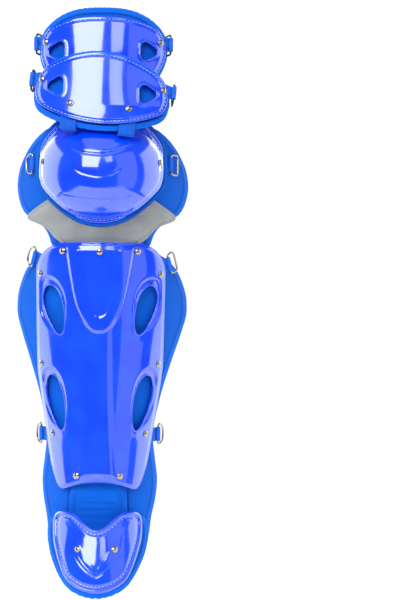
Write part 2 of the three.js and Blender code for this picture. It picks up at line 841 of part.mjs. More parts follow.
const secondTilt = (x, z) => {
  const turn = radians(SECOND_FLAP_TILT);
  const middle = secondFlapBase + SECOND_FLAP_LENGTH / 2;
  return {
    x: x * Math.cos(turn) + (z - middle) * Math.sin(turn),
    z: middle + (z - middle) * Math.cos(turn) - x * Math.sin(turn),
  };
};
function buildSecondFlap() {
  add(
    "second_flap_pad",
    plate({
      outline: outlineOf({ ...secondFlap, rise: SECOND_RISE, drop: SECOND_RISE, tilt: SECOND_FLAP_TILT }),
      columns: 12,
      levels: 10,
      front: secondPadFront,
      back: secondPadBack,
      roll: 8,
      rim: 4,
    }),
    "cloth",
  );
  const shell = plate({
    outline: outlineOf({
      rows: SECOND_FLAP_ROWS,
      base: secondFlapBase + SECOND_FLAP_HEM,
      length: secondShellLength,
      width: SECOND_FLAP_WIDTH - 2 * FLAP_SIDE_MARGIN,
      rise: SECOND_RISE,
      drop: SECOND_RISE,
      tilt: SECOND_FLAP_TILT,
    }),
    columns: 14,
    levels: 8,
    front: secondShellFront,
    back: (x, z) => secondShellFront(x, z) - SHELL_WALL,
  });
  const windows = [-1, 1].map((side) => {
    const place = secondTilt(side * FLAP_WINDOW_PLACE, secondFlapBase + 0.52 * SECOND_FLAP_LENGTH);
    return prism(petalPoints(place.x, place.z, FLAP_WINDOW_RADIUS, 12), -FORWARD * 4, FORWARD * 2);
  });
  add("second_flap_shell", cut(shell, windows), "shell");
}

// The foot guard and the tongue that carries it
const footFront = (x, z) => {
  const up = (z - footBase) / FOOT_PAD_LENGTH;
  const across = Math.min(1, Math.abs(x) / (FOOT_SHELL_WIDTH / 2));
  return LAYER_GAP + SHELL_WALL + FOOT_CROWN * (1 - across * across) * smooth(-0.1, 0.4, up);
};
function buildFoot() {
  add(
    "foot_pad",
    plate({
      form: instep,
      outline: outlineOf({
        rows: FOOT_PAD_ROWS,
        base: footBase,
        length: FOOT_PAD_LENGTH,
        width: FOOT_PAD_WIDTH,
        drop: FOOT_SAG,
        notch: FOOT_NOTCH,
      }),
      columns: 12,
      levels: 10,
      front: clothFront,
      back: () => -FLAP_PAD_THICKNESS,
      roll: 8,
      rim: 4,
    }),
    "cloth",
  );
  add(
    "foot_shell",
    plate({
      form: instep,
      outline: outlineOf({
        rows: FOOT_SHELL_ROWS,
        base: footBase + FOOT_SHELL_LIFT,
        length: FOOT_SHELL_LENGTH,
        width: FOOT_SHELL_WIDTH,
        drop: 7,
        notch: FOOT_NOTCH,
      }),
      columns: 16,
      levels: 10,
      front: footFront,
      back: (x, z) => footFront(x, z) - SHELL_WALL,
    }),
    "shell",
  );
  add(
    "ankle_tongue",
    plate({
      outline: outlineOf({
        rows: TONGUE_ROWS,
        base: shinBase + TONGUE_TUCK - TONGUE_LENGTH,
        length: TONGUE_LENGTH,
        width: TONGUE_WIDTH,
      }),
      columns: 8,
      levels: 8,
      front: (x, z) => lerp(TONGUE_WALL, 0.5 * TONGUE_WALL, smooth(shinBase - 8, shinBase + 10, z)),
      back: () => -SEAT,
      roll: 3,
      rim: 3,
    }),
    "cloth",
  );
}

// A strap of webbing bent along a path of (run, out) points. at gives the point in space for a run, a
// place across the strap and a distance out, and mirrored says that it does so left for right.
function strap({ path, width, columns, at, mirrored }) {
  const offset = (distance) =>
    path.map((p, k) => {
      const ahead = path[Math.min(k + 1, path.length - 1)];
      const behind = path[Math.max(k - 1, 0)];
      const run = ahead.clone().sub(behind).normalize();
      return new THREE.Vector2(p.x - run.y * distance, p.y + run.x * distance);
    });
  const section = [...offset(-WEBBING / 2), ...offset(WEBBING / 2).reverse()];
  const n = section.length;
  const positions = [];
  for (let c = 0; c <= columns; c++) {
    const across = lerp(-width / 2, width / 2, c / columns);
    for (const p of section) positions.push(...at(p.x, across, p.y).toArray());
  }
  const faces = [];
  const quad = (p, q, r, t) => {
    if (mirrored) faces.push(p, r, q, p, t, r);
    else faces.push(p, q, r, p, r, t);
  };
  for (let c = 0; c < columns; c++)
    for (let k = 0; k < n; k++) {
      const next = (k + 1) % n;
      quad(c * n + k, (c + 1) * n + k, (c + 1) * n + next, c * n + next);
    }
  const last = columns * n;
  for (let k = 0; k < path.length - 1; k++) {
    quad(k, k + 1, n - 2 - k, n - 1 - k);
    quad(last + k, last + n - 1 - k, last + n - 2 - k, last + k + 1);
  }
  return geometryOf(positions, faces);
}

// Webbing that is riveted under the second flap's shell, turns round its lower edge and climbs to the
// top flap
function buildHingeStraps() {
  const bottom = secondFlapBase - SECOND_RISE * 0.82;
  const half = WEBBING / 2;
  const front = FLAP_PAD_THICKNESS + 0.5 * LAYER_GAP + half;
  const path = [
    new THREE.Vector2(14, front),
    new THREE.Vector2(6, front),
    new THREE.Vector2(-0.5, front - 1),
    new THREE.Vector2(-3.6, front - 4),
    new THREE.Vector2(-4.2, FLAP_PAD_THICKNESS / 2),
    new THREE.Vector2(-3.6, 2),
    new THREE.Vector2(-0.5, -LAYER_GAP),
    new THREE.Vector2(6, -LAYER_GAP - half),
    new THREE.Vector2(20, -LAYER_GAP - half),
    new THREE.Vector2(36, -LAYER_GAP - half),
    new THREE.Vector2(52, -LAYER_GAP - half),
    new THREE.Vector2(HINGE_STRAP_TOP, -LAYER_GAP - half),
  ];
  for (const side of [-1, 1])
    add(
      side < 0 ? "hinge_strap_left" : "hinge_strap_right",
      strap({
        path,
        width: HINGE_STRAP_WIDTH,
        columns: 2,
        mirrored: true,
        at: (run, across, out) => {
          const place = secondTilt(side * HINGE_STRAP_PLACE + across, bottom + run);
          const foot = leg.foot(place.x, place.z, secondPadFront(place.x, place.z));
          return leg.point(foot.x, foot.z, secondPadBack(place.x, place.z) + out);
        },
      }),
      "webbing",
    );
}

// A wire ring: a straight bar inside the webbing and either a round or a square outer side
function ringGeometry(reach, height, square) {
  const barArc = 2.5;
  const arc = square ? 3.5 : reach - barArc - 0.5;
  const corners = [
    { x: 0, z: -height / 2, radius: barArc },
    { x: reach, z: -height / 2, radius: arc },
    { x: reach, z: height / 2, radius: arc },
    { x: 0, z: height / 2, radius: barArc },
  ];
  const path = [];
  corners.forEach((corner, k) => {
    const steps = k === 0 || k === 3 ? 2 : 3;
    const inX = corner.x === 0 ? 1 : -1;
    const inZ = corner.z < 0 ? 1 : -1;
    const centre = new THREE.Vector2(corner.x + inX * corner.radius, corner.z + inZ * corner.radius);
    const start = [Math.PI, -Math.PI / 2, 0, Math.PI / 2][k];
    for (let s = 0; s <= steps; s++) {
      const angle = start + ((Math.PI / 2) * s) / steps;
      path.push(
        new THREE.Vector2(
          centre.x + corner.radius * Math.cos(angle),
          centre.y + corner.radius * Math.sin(angle),
        ),
      );
    }
  });
  const sides = 5;
  const positions = [];
  path.forEach((p, k) => {
    const before = path[(k + path.length - 1) % path.length];
    const after = path[(k + 1) % path.length];
    const run = after.clone().sub(before).normalize();
    for (let s = 0; s < sides; s++) {
      const angle = (2 * Math.PI * (s + 0.5)) / sides + Math.PI / 2;
      const out = RING_WIRE * Math.cos(angle);
      positions.push(p.x + run.y * out, -RING_WIRE * Math.sin(angle), p.y - run.x * out);
    }
  });
  const faces = [];
  path.forEach((_, k) => {
    const next = (k + 1) % path.length;
    for (let s = 0; s < sides; s++) {
      const t = (s + 1) % sides;
      faces.push(k * sides + s, next * sides + s, next * sides + t);
      faces.push(k * sides + s, next * sides + t, k * sides + t);
    }
  });
  return geometryOf(positions, faces);
}

// A tab of webbing that comes out from under a shell, turns round its ring's bar and ends on itself.
// It lies on the cloth at place, pointing outward and lean degrees upward, and the ring swings toward
// the leg.
function addTabAndRing(name, place, settings) {
  const { base = () => 0, stretch, lean = 0, swing = 0, reach = RING_REACH, square = false } = settings;
  const side = Math.sign(place.x);
  const turn = radians(lean);
  // Follows the cloth outward from the place for a length measured along it
  const walk = (run, across) => {
    let x = place.x - side * across * Math.sin(turn);
    let z = place.z + across * Math.cos(turn);
    const on = () => {
      const foot = leg.foot(x, z, base(x, z) + shellBack);
      return leg.point(foot.x, foot.z, base(x, z));
    };
    const strides = 8;
    for (let k = 0; k < strides; k++) {
      const here = on();
      const trial = 0.1;
      x += side * trial * Math.cos(turn);
      z += trial * Math.sin(turn);
      const rest = (trial * run) / strides / on().distanceTo(here) - trial;
      x += side * rest * Math.cos(turn);
      z += rest * Math.sin(turn);
    }
    return on();
  };
  const middle = stretch / 2;
  const up = walk(middle, TAB_WIDTH / 2).sub(walk(middle, -TAB_WIDTH / 2)).normalize();
  const start = walk(0, 0);
  const spot = (run) => {
    const on = walk(run, 0);
    return on.addScaledVector(up, -on.clone().sub(start).dot(up));
  };
  // The tab follows the cloth as far as its eye, which is straight and round about the ring's bar.
  const frameAt = (run) => {
    const outward = spot(run + 0.5).sub(spot(run - 0.5)).normalize();
    const away = new THREE.Vector3().crossVectors(outward, up).multiplyScalar(side);
    return { on: spot(run), outward, away };
  };
  const eye = frameAt(stretch);
  const at = (run, across, out) => {
    const beyond = run > middle ? run - stretch : 0;
    const { on, outward, away } = run > middle ? eye : frameAt(run);
    const centre = on.clone().addScaledVector(outward, beyond);
    return centre.addScaledVector(up, across).addScaledVector(away, out);
  };
  const low = 0.5 * LAYER_GAP + WEBBING / 2;
  const path = [
    new THREE.Vector2(-TAB_TAIL, low),
    new THREE.Vector2(0, low),
    new THREE.Vector2(middle, low),
  ];
  for (let degrees = -90; degrees <= 200; degrees += 41) {
    const angle = radians(degrees);
    path.push(new THREE.Vector2(stretch + EYE * Math.cos(angle), low + EYE + EYE * Math.sin(angle)));
  }
  add(name + "_tab", strap({ path, width: TAB_WIDTH, columns: 1, at, mirrored: side < 0 }), "webbing");
  const ring = add(name + "_ring", ringGeometry(reach, RING_HEIGHT, square), "metal");
  const across = eye.outward.clone();
  ring.quaternion.setFromRotationMatrix(
    new THREE.Matrix4().makeBasis(across, new THREE.Vector3().crossVectors(up, across), up),
  );
  ring.position.copy(at(stretch, 0, low + EYE));
  ring.rotateZ(side * radians(swing));
}

// The half width of a shell at a height, seen from the front
const halfAt = (rows, base, length, width, z) =>
  (width / 2) * along(rows, "up", "half", (z - base) / length);

function buildRings() {
  for (const side of [-1, 1]) {
    const hand = side < 0 ? "left" : "right";
    const square = side > 0;
    const kneeHalf = halfAt(
      KNEE_SHELL_ROWS,
      kneeShellBase,
      KNEE_SHELL_LENGTH,
      KNEE_SHELL_WIDTH,
      RING_PLACES.knee,
    );
    addTabAndRing(
      "knee_" + hand,
      { x: side * (kneeHalf + KNEE_TRIM_MARGIN - 2), z: RING_PLACES.knee },
      { stretch: 7, square },
    );
    const shinHalf = (z) => halfAt(SHIN_SHELL_ROWS, shinBase, SHIN_SHELL_LENGTH, SHIN_SHELL_WIDTH, z);
    const shinUpper = RING_PLACES.shinUpper - (side > 0 ? 6 : 0);
    addTabAndRing(
      "shin_upper_" + hand,
      { x: side * (shinHalf(shinUpper) - 2), z: shinUpper },
      { stretch: 8, lean: 15, square },
    );
    addTabAndRing(
      "shin_lower_" + hand,
      { x: side * (shinHalf(RING_PLACES.shinLower) - 2), z: RING_PLACES.shinLower },
      { stretch: 12 },
    );
    const topHalf = halfAt(
      TOP_FLAP_ROWS,
      topFlapBase,
      TOP_FLAP_LENGTH,
      TOP_FLAP_WIDTH,
      RING_PLACES.topFlap,
    );
    addTabAndRing(
      "top_flap_" + hand,
      { x: side * (topHalf - FLAP_SIDE_MARGIN - 2), z: RING_PLACES.topFlap },
      { stretch: 9.5, swing: 72, reach: FLAP_RING_REACH, square: true },
    );
    const secondHalf = SECOND_FLAP_WIDTH / 2 - FLAP_SIDE_MARGIN - 1;
    const second = secondTilt(side * secondHalf, RING_PLACES.secondFlap);
    addTabAndRing("second_flap_" + hand, second, {
      base: secondPadFront,
      stretch: 7,
      lean: -side * SECOND_FLAP_TILT,
      swing: 60,
      reach: FLAP_RING_REACH,
      square: true,
    });
  }
}

// Domed rivets on the shells, listed by place with the share of the shell's half width that they sit at
function addRivet(name, form, x, z, front) {
  const profile = [
    new THREE.Vector2(0, 0),
    new THREE.Vector2(RIVET_RADIUS, 0),
    new THREE.Vector2(RIVET_RADIUS * 0.72, RIVET_HEIGHT * 0.8),
    new THREE.Vector2(0, RIVET_HEIGHT),
  ];
  const rivet = add(name, new THREE.LatheGeometry(profile, 8), "metal");
  const at = (across, up) => form.seen(x + across, z + up, front(x + across, z + up));
  const around = Array.from({ length: 8 }, (_, k) => {
    const angle = (Math.PI * k) / 4;
    return at(RIVET_RADIUS * Math.cos(angle), RIVET_RADIUS * Math.sin(angle));
  });
  const normal = new THREE.Vector3()
    .crossVectors(around[0].clone().sub(around[4]), around[2].clone().sub(around[6]))
    .normalize();
  const here = at(0, 0);
  const lift = Math.max(...around.map((p) => p.clone().sub(here).dot(normal)), 0);
  rivet.quaternion.setFromUnitVectors(new THREE.Vector3(0, 1, 0), normal);
  rivet.position.copy(here.addScaledVector(normal, lift + SEAT));
}

function buildRivets() {
  for (const side of [-1, 1]) {
    const hand = side < 0 ? "_left" : "_right";
    for (const rivet of SHIN_RIVETS)
      addRivet(
        "rivet_shin_" + rivet.name + hand,
        leg,
        side * rivet.x,
        shinBase + rivet.up * SHIN_SHELL_LENGTH,
        shinFront,
      );
    addRivet("rivet_knee" + hand, leg, side * (KNEE_SHELL_WIDTH / 2 - 4.5), RING_PLACES.knee, kneeFront);
    addRivet(
      "rivet_top_flap" + hand,
      leg,
      side * (TOP_FLAP_WIDTH / 2 - 9),
      RING_PLACES.topFlap,
      topShellFront,
    );
    const outer = secondTilt(side * (SECOND_FLAP_WIDTH / 2 - 9.5), RING_PLACES.secondFlap);
    addRivet("rivet_second_flap" + hand, leg, outer.x, outer.z, secondShellFront);
    const lower = secondTilt(side * HINGE_STRAP_PLACE, secondFlapBase + 0.24 * SECOND_FLAP_LENGTH);
    addRivet("rivet_hinge" + hand, leg, lower.x, lower.z, secondShellFront);
    addRivet(
      "rivet_foot" + hand,
      instep,
      side * FOOT_RIVET_PLACE,
      footBase + FOOT_SHELL_LIFT + 0.5 * FOOT_SHELL_LENGTH,
      footFront,
    );
  }
  addRivet("rivet_shin_top_centre", leg, 0, shinBase + 0.964 * SHIN_SHELL_LENGTH, shinFront);
}

buildShinWings();
buildShinShell();
buildShinPad();
buildKneePad();
buildKneeShell();
buildKneeCushion();
buildTopFlap();
buildSecondFlap();
buildFoot();
buildHingeStraps();
buildRings();
buildRivets();

export default guard;
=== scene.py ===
# %% [markdown]
# # Dressing a catcher's leg guard
# A leg guard is layered like armour. Hard glossy shells take the ball, padded cloth behind them spreads the blow,
# and thick black cushions rest on the knee and the shin. The solid model gives every piece its place and size. This
# lesson gives them their surfaces: moulded edges, bindings, stitches, quilting, weave and metal.

# %% Load the fixed frame
import math

import bmesh
import bpy
import numpy as np
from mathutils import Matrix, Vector
from mathutils.kdtree import KDTree


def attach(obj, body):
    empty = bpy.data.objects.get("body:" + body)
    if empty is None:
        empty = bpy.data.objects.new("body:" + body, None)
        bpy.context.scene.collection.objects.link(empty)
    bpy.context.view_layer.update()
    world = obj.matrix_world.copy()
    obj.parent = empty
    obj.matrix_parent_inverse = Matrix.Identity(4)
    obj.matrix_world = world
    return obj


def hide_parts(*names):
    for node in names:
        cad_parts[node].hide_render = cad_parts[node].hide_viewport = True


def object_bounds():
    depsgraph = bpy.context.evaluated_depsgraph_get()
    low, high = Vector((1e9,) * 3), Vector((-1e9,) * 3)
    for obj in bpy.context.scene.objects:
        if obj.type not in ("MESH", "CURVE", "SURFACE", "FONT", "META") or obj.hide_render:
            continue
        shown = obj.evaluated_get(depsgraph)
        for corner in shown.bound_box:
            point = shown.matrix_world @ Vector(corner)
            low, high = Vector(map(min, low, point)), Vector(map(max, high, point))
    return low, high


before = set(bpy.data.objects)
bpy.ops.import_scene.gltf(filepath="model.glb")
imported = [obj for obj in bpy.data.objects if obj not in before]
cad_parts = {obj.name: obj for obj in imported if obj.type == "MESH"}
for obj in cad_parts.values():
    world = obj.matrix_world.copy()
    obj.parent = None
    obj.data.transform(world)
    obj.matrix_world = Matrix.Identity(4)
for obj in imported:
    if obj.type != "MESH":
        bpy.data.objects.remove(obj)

MM = 0.001
cad_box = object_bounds()
print("nodes:", len(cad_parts), "box in mm:", [[round(v / MM) for v in corner] for corner in cad_box])

# %% [markdown]
# ## The camera
# The guard is seen square from the front, from so far away that its sides hardly converge. A long lens does the same
# here. The height that the picture takes in, the point that it is centred on and a slight lean set the framing.

# %% Place the camera
VIEW_DISTANCE = 3.5
VIEW_HEIGHT = 0.684
VIEW_CENTRE = (0.1154, 0.1237)
VIEW_LEAN = math.radians(0.57)
SENSOR = 36

camera_data = bpy.data.cameras.new("camera")
camera_data.sensor_width = SENSOR
camera_data.lens = SENSOR * VIEW_DISTANCE / VIEW_HEIGHT
camera = bpy.data.objects.new("camera", camera_data)
camera.location = (VIEW_CENTRE[0], -VIEW_DISTANCE, VIEW_CENTRE[1])
camera.rotation_euler = (math.pi / 2, -VIEW_LEAN, 0)
scene = bpy.context.scene
scene.collection.objects.link(camera)
scene.camera = camera
scene.view_settings.view_transform = "Standard"
print("lens in mm:", round(camera_data.lens))

# %% [markdown]
# ## Light
# Gloss is only as good as what it mirrors. Two soft boxes up in front give the white windows on the shells, and two
# tall pale walls give the bands along their edges. The room is bright where the camera sees it and grey where the
# shells do, so that the plastic keeps its deep colour on a white ground.

# %% Hang the lamps and lay the floor
LAMPS = [
    # name, place, width, height, power
    ("window_large", (-0.74, -1.82, 1.55), 1.45, 1.6, 54),
    ("window_narrow", (0.62, -1.9, 1.6), 0.6, 0.7, 5),
    ("panel_right", (1.8, -1.26, 0.5), 1.6, 3.0, 10),
    ("wall_left", (-2.1, 1.0, 0.3), 2.3, 2.8, 44),
    ("wall_right", (2.1, 1.0, 0.3), 2.3, 2.8, 38),
    ("ceiling", (0, -0.3, 2.6), 2.4, 2.4, 12),
    ("back_left", (-1.3, 2.2, 0.9), 1.1, 1.4, 16),
    ("back_right", (1.5, 2.0, 1.1), 1.1, 1.4, 9),
]
AIM = Vector((0, 0, 0.12))


def hang_lamp(name, place, width, height, power):
    light = bpy.data.lights.new(name, "AREA")
    light.shape = "RECTANGLE"
    light.size, light.size_y = width, height
    light.energy = power
    light.color = (0.9, 0.96, 1.0)
    lamp = bpy.data.objects.new(name, light)
    lamp.location = place
    lamp.rotation_euler = (AIM - Vector(place)).to_track_quat("-Z", "Y").to_euler()
    lamp.visible_camera = False
    scene.collection.objects.link(lamp)


for row in LAMPS:
    hang_lamp(*row)

world = bpy.data.worlds.new("studio")
scene.world = world
world.use_nodes = True
sky = world.node_tree
sky.nodes.clear()
room, seen_room = (sky.nodes.new("ShaderNodeBackground") for _ in range(2))
room.inputs["Color"].default_value = (0.62, 0.66, 0.75, 1)
room.inputs["Strength"].default_value = 0.18
seen_room.inputs["Color"].default_value = (1, 1, 1, 1)
seen_room.inputs["Strength"].default_value = 1.05
which = sky.nodes.new("ShaderNodeLightPath")
either = sky.nodes.new("ShaderNodeMixShader")
world_out = sky.nodes.new("ShaderNodeOutputWorld")
sky.links.new(which.outputs["Is Camera Ray"], either.inputs[0])
sky.links.new(room.outputs[0], either.inputs[1])
sky.links.new(seen_room.outputs[0], either.inputs[2])
sky.links.new(either.outputs[0], world_out.inputs[0])

FLOOR_GAP = 0.0012
FLOOR_HALF = 0.75
floor_mesh = bpy.data.meshes.new("floor")
floor_level = cad_box[0].z - FLOOR_GAP
corners = [(-FLOOR_HALF, -FLOOR_HALF), (FLOOR_HALF, -FLOOR_HALF), (FLOOR_HALF, FLOOR_HALF), (-FLOOR_HALF, FLOOR_HALF)]
floor_mesh.from_pydata([(x, y, floor_level) for x, y in corners], [], [(0, 1, 2, 3)])
floor = bpy.data.objects.new("floor", floor_mesh)
scene.collection.objects.link(floor)
print("lamps:", len(LAMPS), "floor at mm:", round(floor_level / MM, 1))

# %% [markdown]
# ## Nodes without the clutter
# A material is a small network. One helper makes a node, sets its plain values and joins the sockets that it is
# given, so that each finish below reads as a recipe. Effects that several finishes share go into node groups.

# %% Helpers that make nodes
def add_node(tree, kind, inputs=(), **settings):
    node = tree.nodes.new(kind)
    for name, value in settings.items():
        setattr(node, name, value)
    for key, value in dict(inputs).items():
        if isinstance(value, bpy.types.NodeSocket):
            tree.links.new(value, node.inputs[key])
        else:
            node.inputs[key].default_value = value
    return node


def maths(tree, operation, *values):
    return add_node(tree, "ShaderNodeMath", dict(enumerate(values)), operation=operation).outputs[0]


def ramp_between(tree, value, low, high, from_value=0.0, to_value=1.0):
    inputs = {"Value": value, "From Min": low, "From Max": high, "To Min": from_value, "To Max": to_value}
    return add_node(tree, "ShaderNodeMapRange", inputs, interpolation_type="SMOOTHSTEP").outputs[0]


def mix_colours(tree, share, first, second):
    node = add_node(tree, "ShaderNodeMix", data_type="RGBA")
    for key, value in ((0, share), (6, first), (7, second)):
        if isinstance(value, bpy.types.NodeSocket):
            tree.links.new(value, node.inputs[key])
        else:
            node.inputs[key].default_value = value
    return node.outputs[2]


print("helpers make a node, a sum, a ramp and a mix")

# %% [markdown]
# ## Groups, materials and bumps
# A group is a small machine with named sockets that many materials can hold. A material starts from the plain
# Principle shader, and whatever is the same all over is set on the shader itself.

# %% Helpers for groups and materials
def new_group(name, inputs, outputs):
    tree = bpy.data.node_groups.new(name, "ShaderNodeTree")
    for label, kind, value in inputs:
        socket = tree.interface.new_socket(label, in_out="INPUT", socket_type="NodeSocket" + kind)
        if value is not None:
            socket.default_value = value
    for label, kind in outputs:
        tree.interface.new_socket(label, in_out="OUTPUT", socket_type="NodeSocket" + kind)
    return tree, tree.nodes.new("NodeGroupInput").outputs, tree.nodes.new("NodeGroupOutput").inputs


def use_group(tree, group, inputs=()):
    node = tree.nodes.new("ShaderNodeGroup")
    node.node_tree = group
    for key, value in dict(inputs).items():
        if isinstance(value, bpy.types.NodeSocket):
            tree.links.new(value, node.inputs[key])
        else:
            node.inputs[key].default_value = value
    return node.outputs


def new_material(name, **shader):
    material = bpy.data.materials.new(name)
    material.use_nodes = True
    tree = material.node_tree
    surface = tree.nodes["Principled BSDF"]
    for key, value in shader.items():
        surface.inputs[key.replace("_", " ")].default_value = value
    return material, tree, surface.inputs


def bump(tree, height, distance, strength=1.0, below=None):
    inputs = {"Height": height, "Distance": distance, "Strength": strength}
    if below is not None:
        inputs["Normal"] = below
    return add_node(tree, "ShaderNodeBump", inputs).outputs[0]


def srgb(red, green, blue):
    return tuple((c / 255 / 12.92 if c < 11 else ((c / 255 + 0.055) / 1.055) ** 2.4) for c in (red, green, blue)) + (1,)


floor_material, _, _ = new_material(
    "floor_paper",
    Base_Color=(0.93, 0.93, 0.93, 1),
    Roughness=0.9,
    Emission_Color=(1, 1, 1, 1),
    Emission_Strength=0.6,
)
floor_mesh.materials.append(floor_material)

print("floor finish:", floor_material.name)

# %% [markdown]
# ## Where things lie up the leg
# All heights hang together: the knee starts at the shin's top, and the flaps and the foot hang from those. So each is
# written from the one before it. The stations say how the leg goes forward, how wide it is and how deep it bows.

# %% Heights and stations (millimetres)
SHIN_BASE = -93
SHIN_LENGTH = 280
SHIN_TOP = SHIN_BASE + SHIN_LENGTH
KNEE_BASE = SHIN_TOP - 5
KNEE_SHELL_BASE = KNEE_BASE + 34
TOP_FLAP_BASE = KNEE_BASE + 170
SECOND_FLAP_BASE = KNEE_BASE + 142
FOOT_BASE = SHIN_BASE - 108

LEG_STATIONS = {
    "at": [FOOT_BASE, SHIN_BASE - 34, SHIN_BASE + 16, SHIN_BASE + 73, SHIN_BASE + 143, SHIN_TOP - 78,
           SHIN_TOP, KNEE_BASE + 72, KNEE_BASE + 134, TOP_FLAP_BASE + 48, TOP_FLAP_BASE + 104],
    "forward": [0.76, 0.69, 0.64, 0.67, 0.71, 0.76, 0.86, 1, 0.79, 0.5, 0.31],
    "reach": [0.7, 0.7, 0.71, 0.74, 0.89, 1, 1, 1, 0.94, 0.88, 0.88],
    "bow": [0.78, 0.78, 0.8, 0.82, 0.92, 1, 0.97, 0.94, 0.82, 0.66, 0.62],
}
INSTEP_STATIONS = {
    "at": [FOOT_BASE - 8, FOOT_BASE + 45, FOOT_BASE + 90],
    "forward": [1, 0.78, 0.512],
    "reach": [1, 0.98, 0.96],
    "bow": [1, 1, 1],
}
print("the form has", len(LEG_STATIONS["at"]), "stations from", FOOT_BASE, "to", TOP_FLAP_BASE + 104, "mm")

# %% [markdown]
# ## Smooth steps and smooth tables
# A step with soft ends shapes nearly every relief here. A table is read along a curve that never overshoots its rows,
# because a spline that swings past them would put waves in an edge that is straight on the real guard.

# %% Read between the rows of a table
def smooth(low, high, value):
    t = np.clip((value - low) / (high - low), 0, 1)
    return t * t * (3 - 2 * t)


def along(rows, column, place, key="up"):
    """One column of a table of rows, read between them along a curve that never overshoots a row."""
    at, value = np.array(rows[key], float), np.array(rows[column], float)
    slope = np.diff(value) / np.diff(at)
    before, after = slope[:-1], slope[1:]
    total = np.where(before + after == 0, 1, before + after)
    inner = np.where(before * after <= 0, 0, 2 * before * after / total)
    tangent = np.concatenate([slope[:1], inner, slope[-1:]])
    place = np.clip(place, at[0], at[-1])
    i = np.clip(np.searchsorted(at, place, side="right") - 1, 0, len(at) - 2)
    span = at[i + 1] - at[i]
    t = (place - at[i]) / span
    rise = value[i + 1] - value[i]
    start, end = tangent[i] * span, tangent[i + 1] * span
    return value[i] + t * (start + t * (3 * rise - 2 * start - end + t * (start + end - 2 * rise)))


print("a table of 0, 1, 0 read at a quarter:", along({"up": [0, 1, 2], "half": [0, 1, 0]}, "half", 0.5))

# %% [markdown]
# ## The leg that everything is bent round
# Every layer of a real guard is bent over the same form, so the pieces nest. The form is written as a depth over the
# front view, and a layer is a distance out from it. Two layers never meet as long as their distances differ. The
# pieces could be modelled one by one, but then each overlap would have to be tried out by hand.

# %% The form
class Form:
    """A bent surface over the front view. A point of a layer is its foot on the form and a distance out."""

    def __init__(self, stations, forward, reach, bow):
        self.stations, self.forward, self.reach, self.bow = stations, forward, reach, bow

    def depth(self, x, z):
        share = np.minimum(0.97, np.abs(x) / (self.reach * along(self.stations, "reach", z, "at")))
        oval = self.bow * along(self.stations, "bow", z, "at") * (1 - np.sqrt(1 - share * share))
        return oval - self.forward * along(self.stations, "forward", z, "at")

    def normal(self, x, z, step=0.5):
        across = (self.depth(x + step, z) - self.depth(x - step, z)) / (2 * step)
        up = (self.depth(x, z + step) - self.depth(x, z - step)) / (2 * step)
        length = np.sqrt(across * across + 1 + up * up)
        return np.stack([across / length, -1 / length, up / length], -1)

    def point(self, x, z, out):
        return np.stack([x, self.depth(x, z), z], -1) + self.normal(x, z) * np.asarray(out)[..., None]

    def foot(self, x, z, out):
        """Where to stand on the form so that the point that far out is seen at x and z from the front."""
        at_x, at_z = np.array(x, float), np.array(z, float)
        for _ in range(36):
            seen = self.point(at_x, at_z, out)
            at_x += 0.32 * (x - seen[..., 0])
            at_z += 0.32 * (z - seen[..., 2])
        return at_x, at_z

    def girth(self, x, z, steps=10):
        """How far round the form a place lies from its middle line."""
        shares = np.linspace(0, 1, steps + 1)
        depths = [self.depth(x * s, z) for s in shares]
        rises = [depths[k + 1] - depths[k] for k in range(steps)]
        return np.sign(x) * sum(np.hypot(x / steps, rise) for rise in rises)


leg = Form(LEG_STATIONS, forward=42, reach=108, bow=128)
instep = Form(INSTEP_STATIONS, forward=84, reach=74, bow=104)
print("the form lies at y", np.round(leg.depth(np.array([0.0, 60.0]), np.array([0.0, 0.0])), 1), "mm at x 0 and 60")

# %% [markdown]
# ## Outlines
# A maker cuts each layer to a pattern. Here a cut edge is a short table of half widths up the piece, with an arched
# top or bottom, a notch and a tilt where the piece has them. A table is easy to read off a photograph and to change.

# %% Cut edges
class Outline:
    """A piece's cut edge seen from the front: t runs 0 to 1 across it and v 0 to 1 up it."""

    def __init__(self, rows, base, length, width, rise=0, drop=0, notch=0, tilt=0, side=1, square=2):
        self.rows, self.base, self.length, self.half = rows, base, length, width / 2
        self.rise, self.drop, self.notch, self.turn, self.side = rise, drop, notch, math.radians(tilt), side
        self.square = square

    def __call__(self, t, v):
        outer = self.half * along(self.rows, "outer" if "outer" in self.rows else "half", v)
        inner = self.half * along(self.rows, "inner", v) if "inner" in self.rows else -outer
        u = 2 * t - 1
        arch = 1 - u * u
        heart = np.where(np.abs(u) < 0.75, (1 + np.cos(np.pi * u / 0.75)) / 2, 0)
        x = self.side * (inner + (outer - inner) * t)
        crown = self.rise * (1 - np.abs(u) ** self.square) * v * v
        z = self.base + v * self.length + crown - self.drop * arch * (1 - v) ** 2
        return self.tilted(x, z - self.notch * heart * v * v)

    def tilted(self, x, z):
        middle = self.base + self.length / 2
        cos, sin = math.cos(self.turn), math.sin(self.turn)
        return x * cos + (z - middle) * sin, middle + (z - middle) * cos - x * sin


square_cut = Outline({"up": [0, 1], "half": [1, 1]}, 0, 10, 20)
print("a plain outline's upper right corner:", [round(float(v), 1) for v in square_cut(1.0, 1.0)])

# %% [markdown]
# ## Moving a line in from the edge
# Bindings, stitches and quilt lines all follow the cut edge at a distance. A scaled outline would squeeze them
# together where the piece is narrow. So the line walks inward along its own normals, in strides under a millimetre,
# and is smoothed at each stride so that tight corners don't fold over.

# %% Soften, walk inward and space evenly
STRIDE = 0.8


def soften(ring, passes):
    for _ in range(passes):
        ring = 0.5 * ring + 0.25 * (np.roll(ring, 1, 0) + np.roll(ring, -1, 0))
    return ring


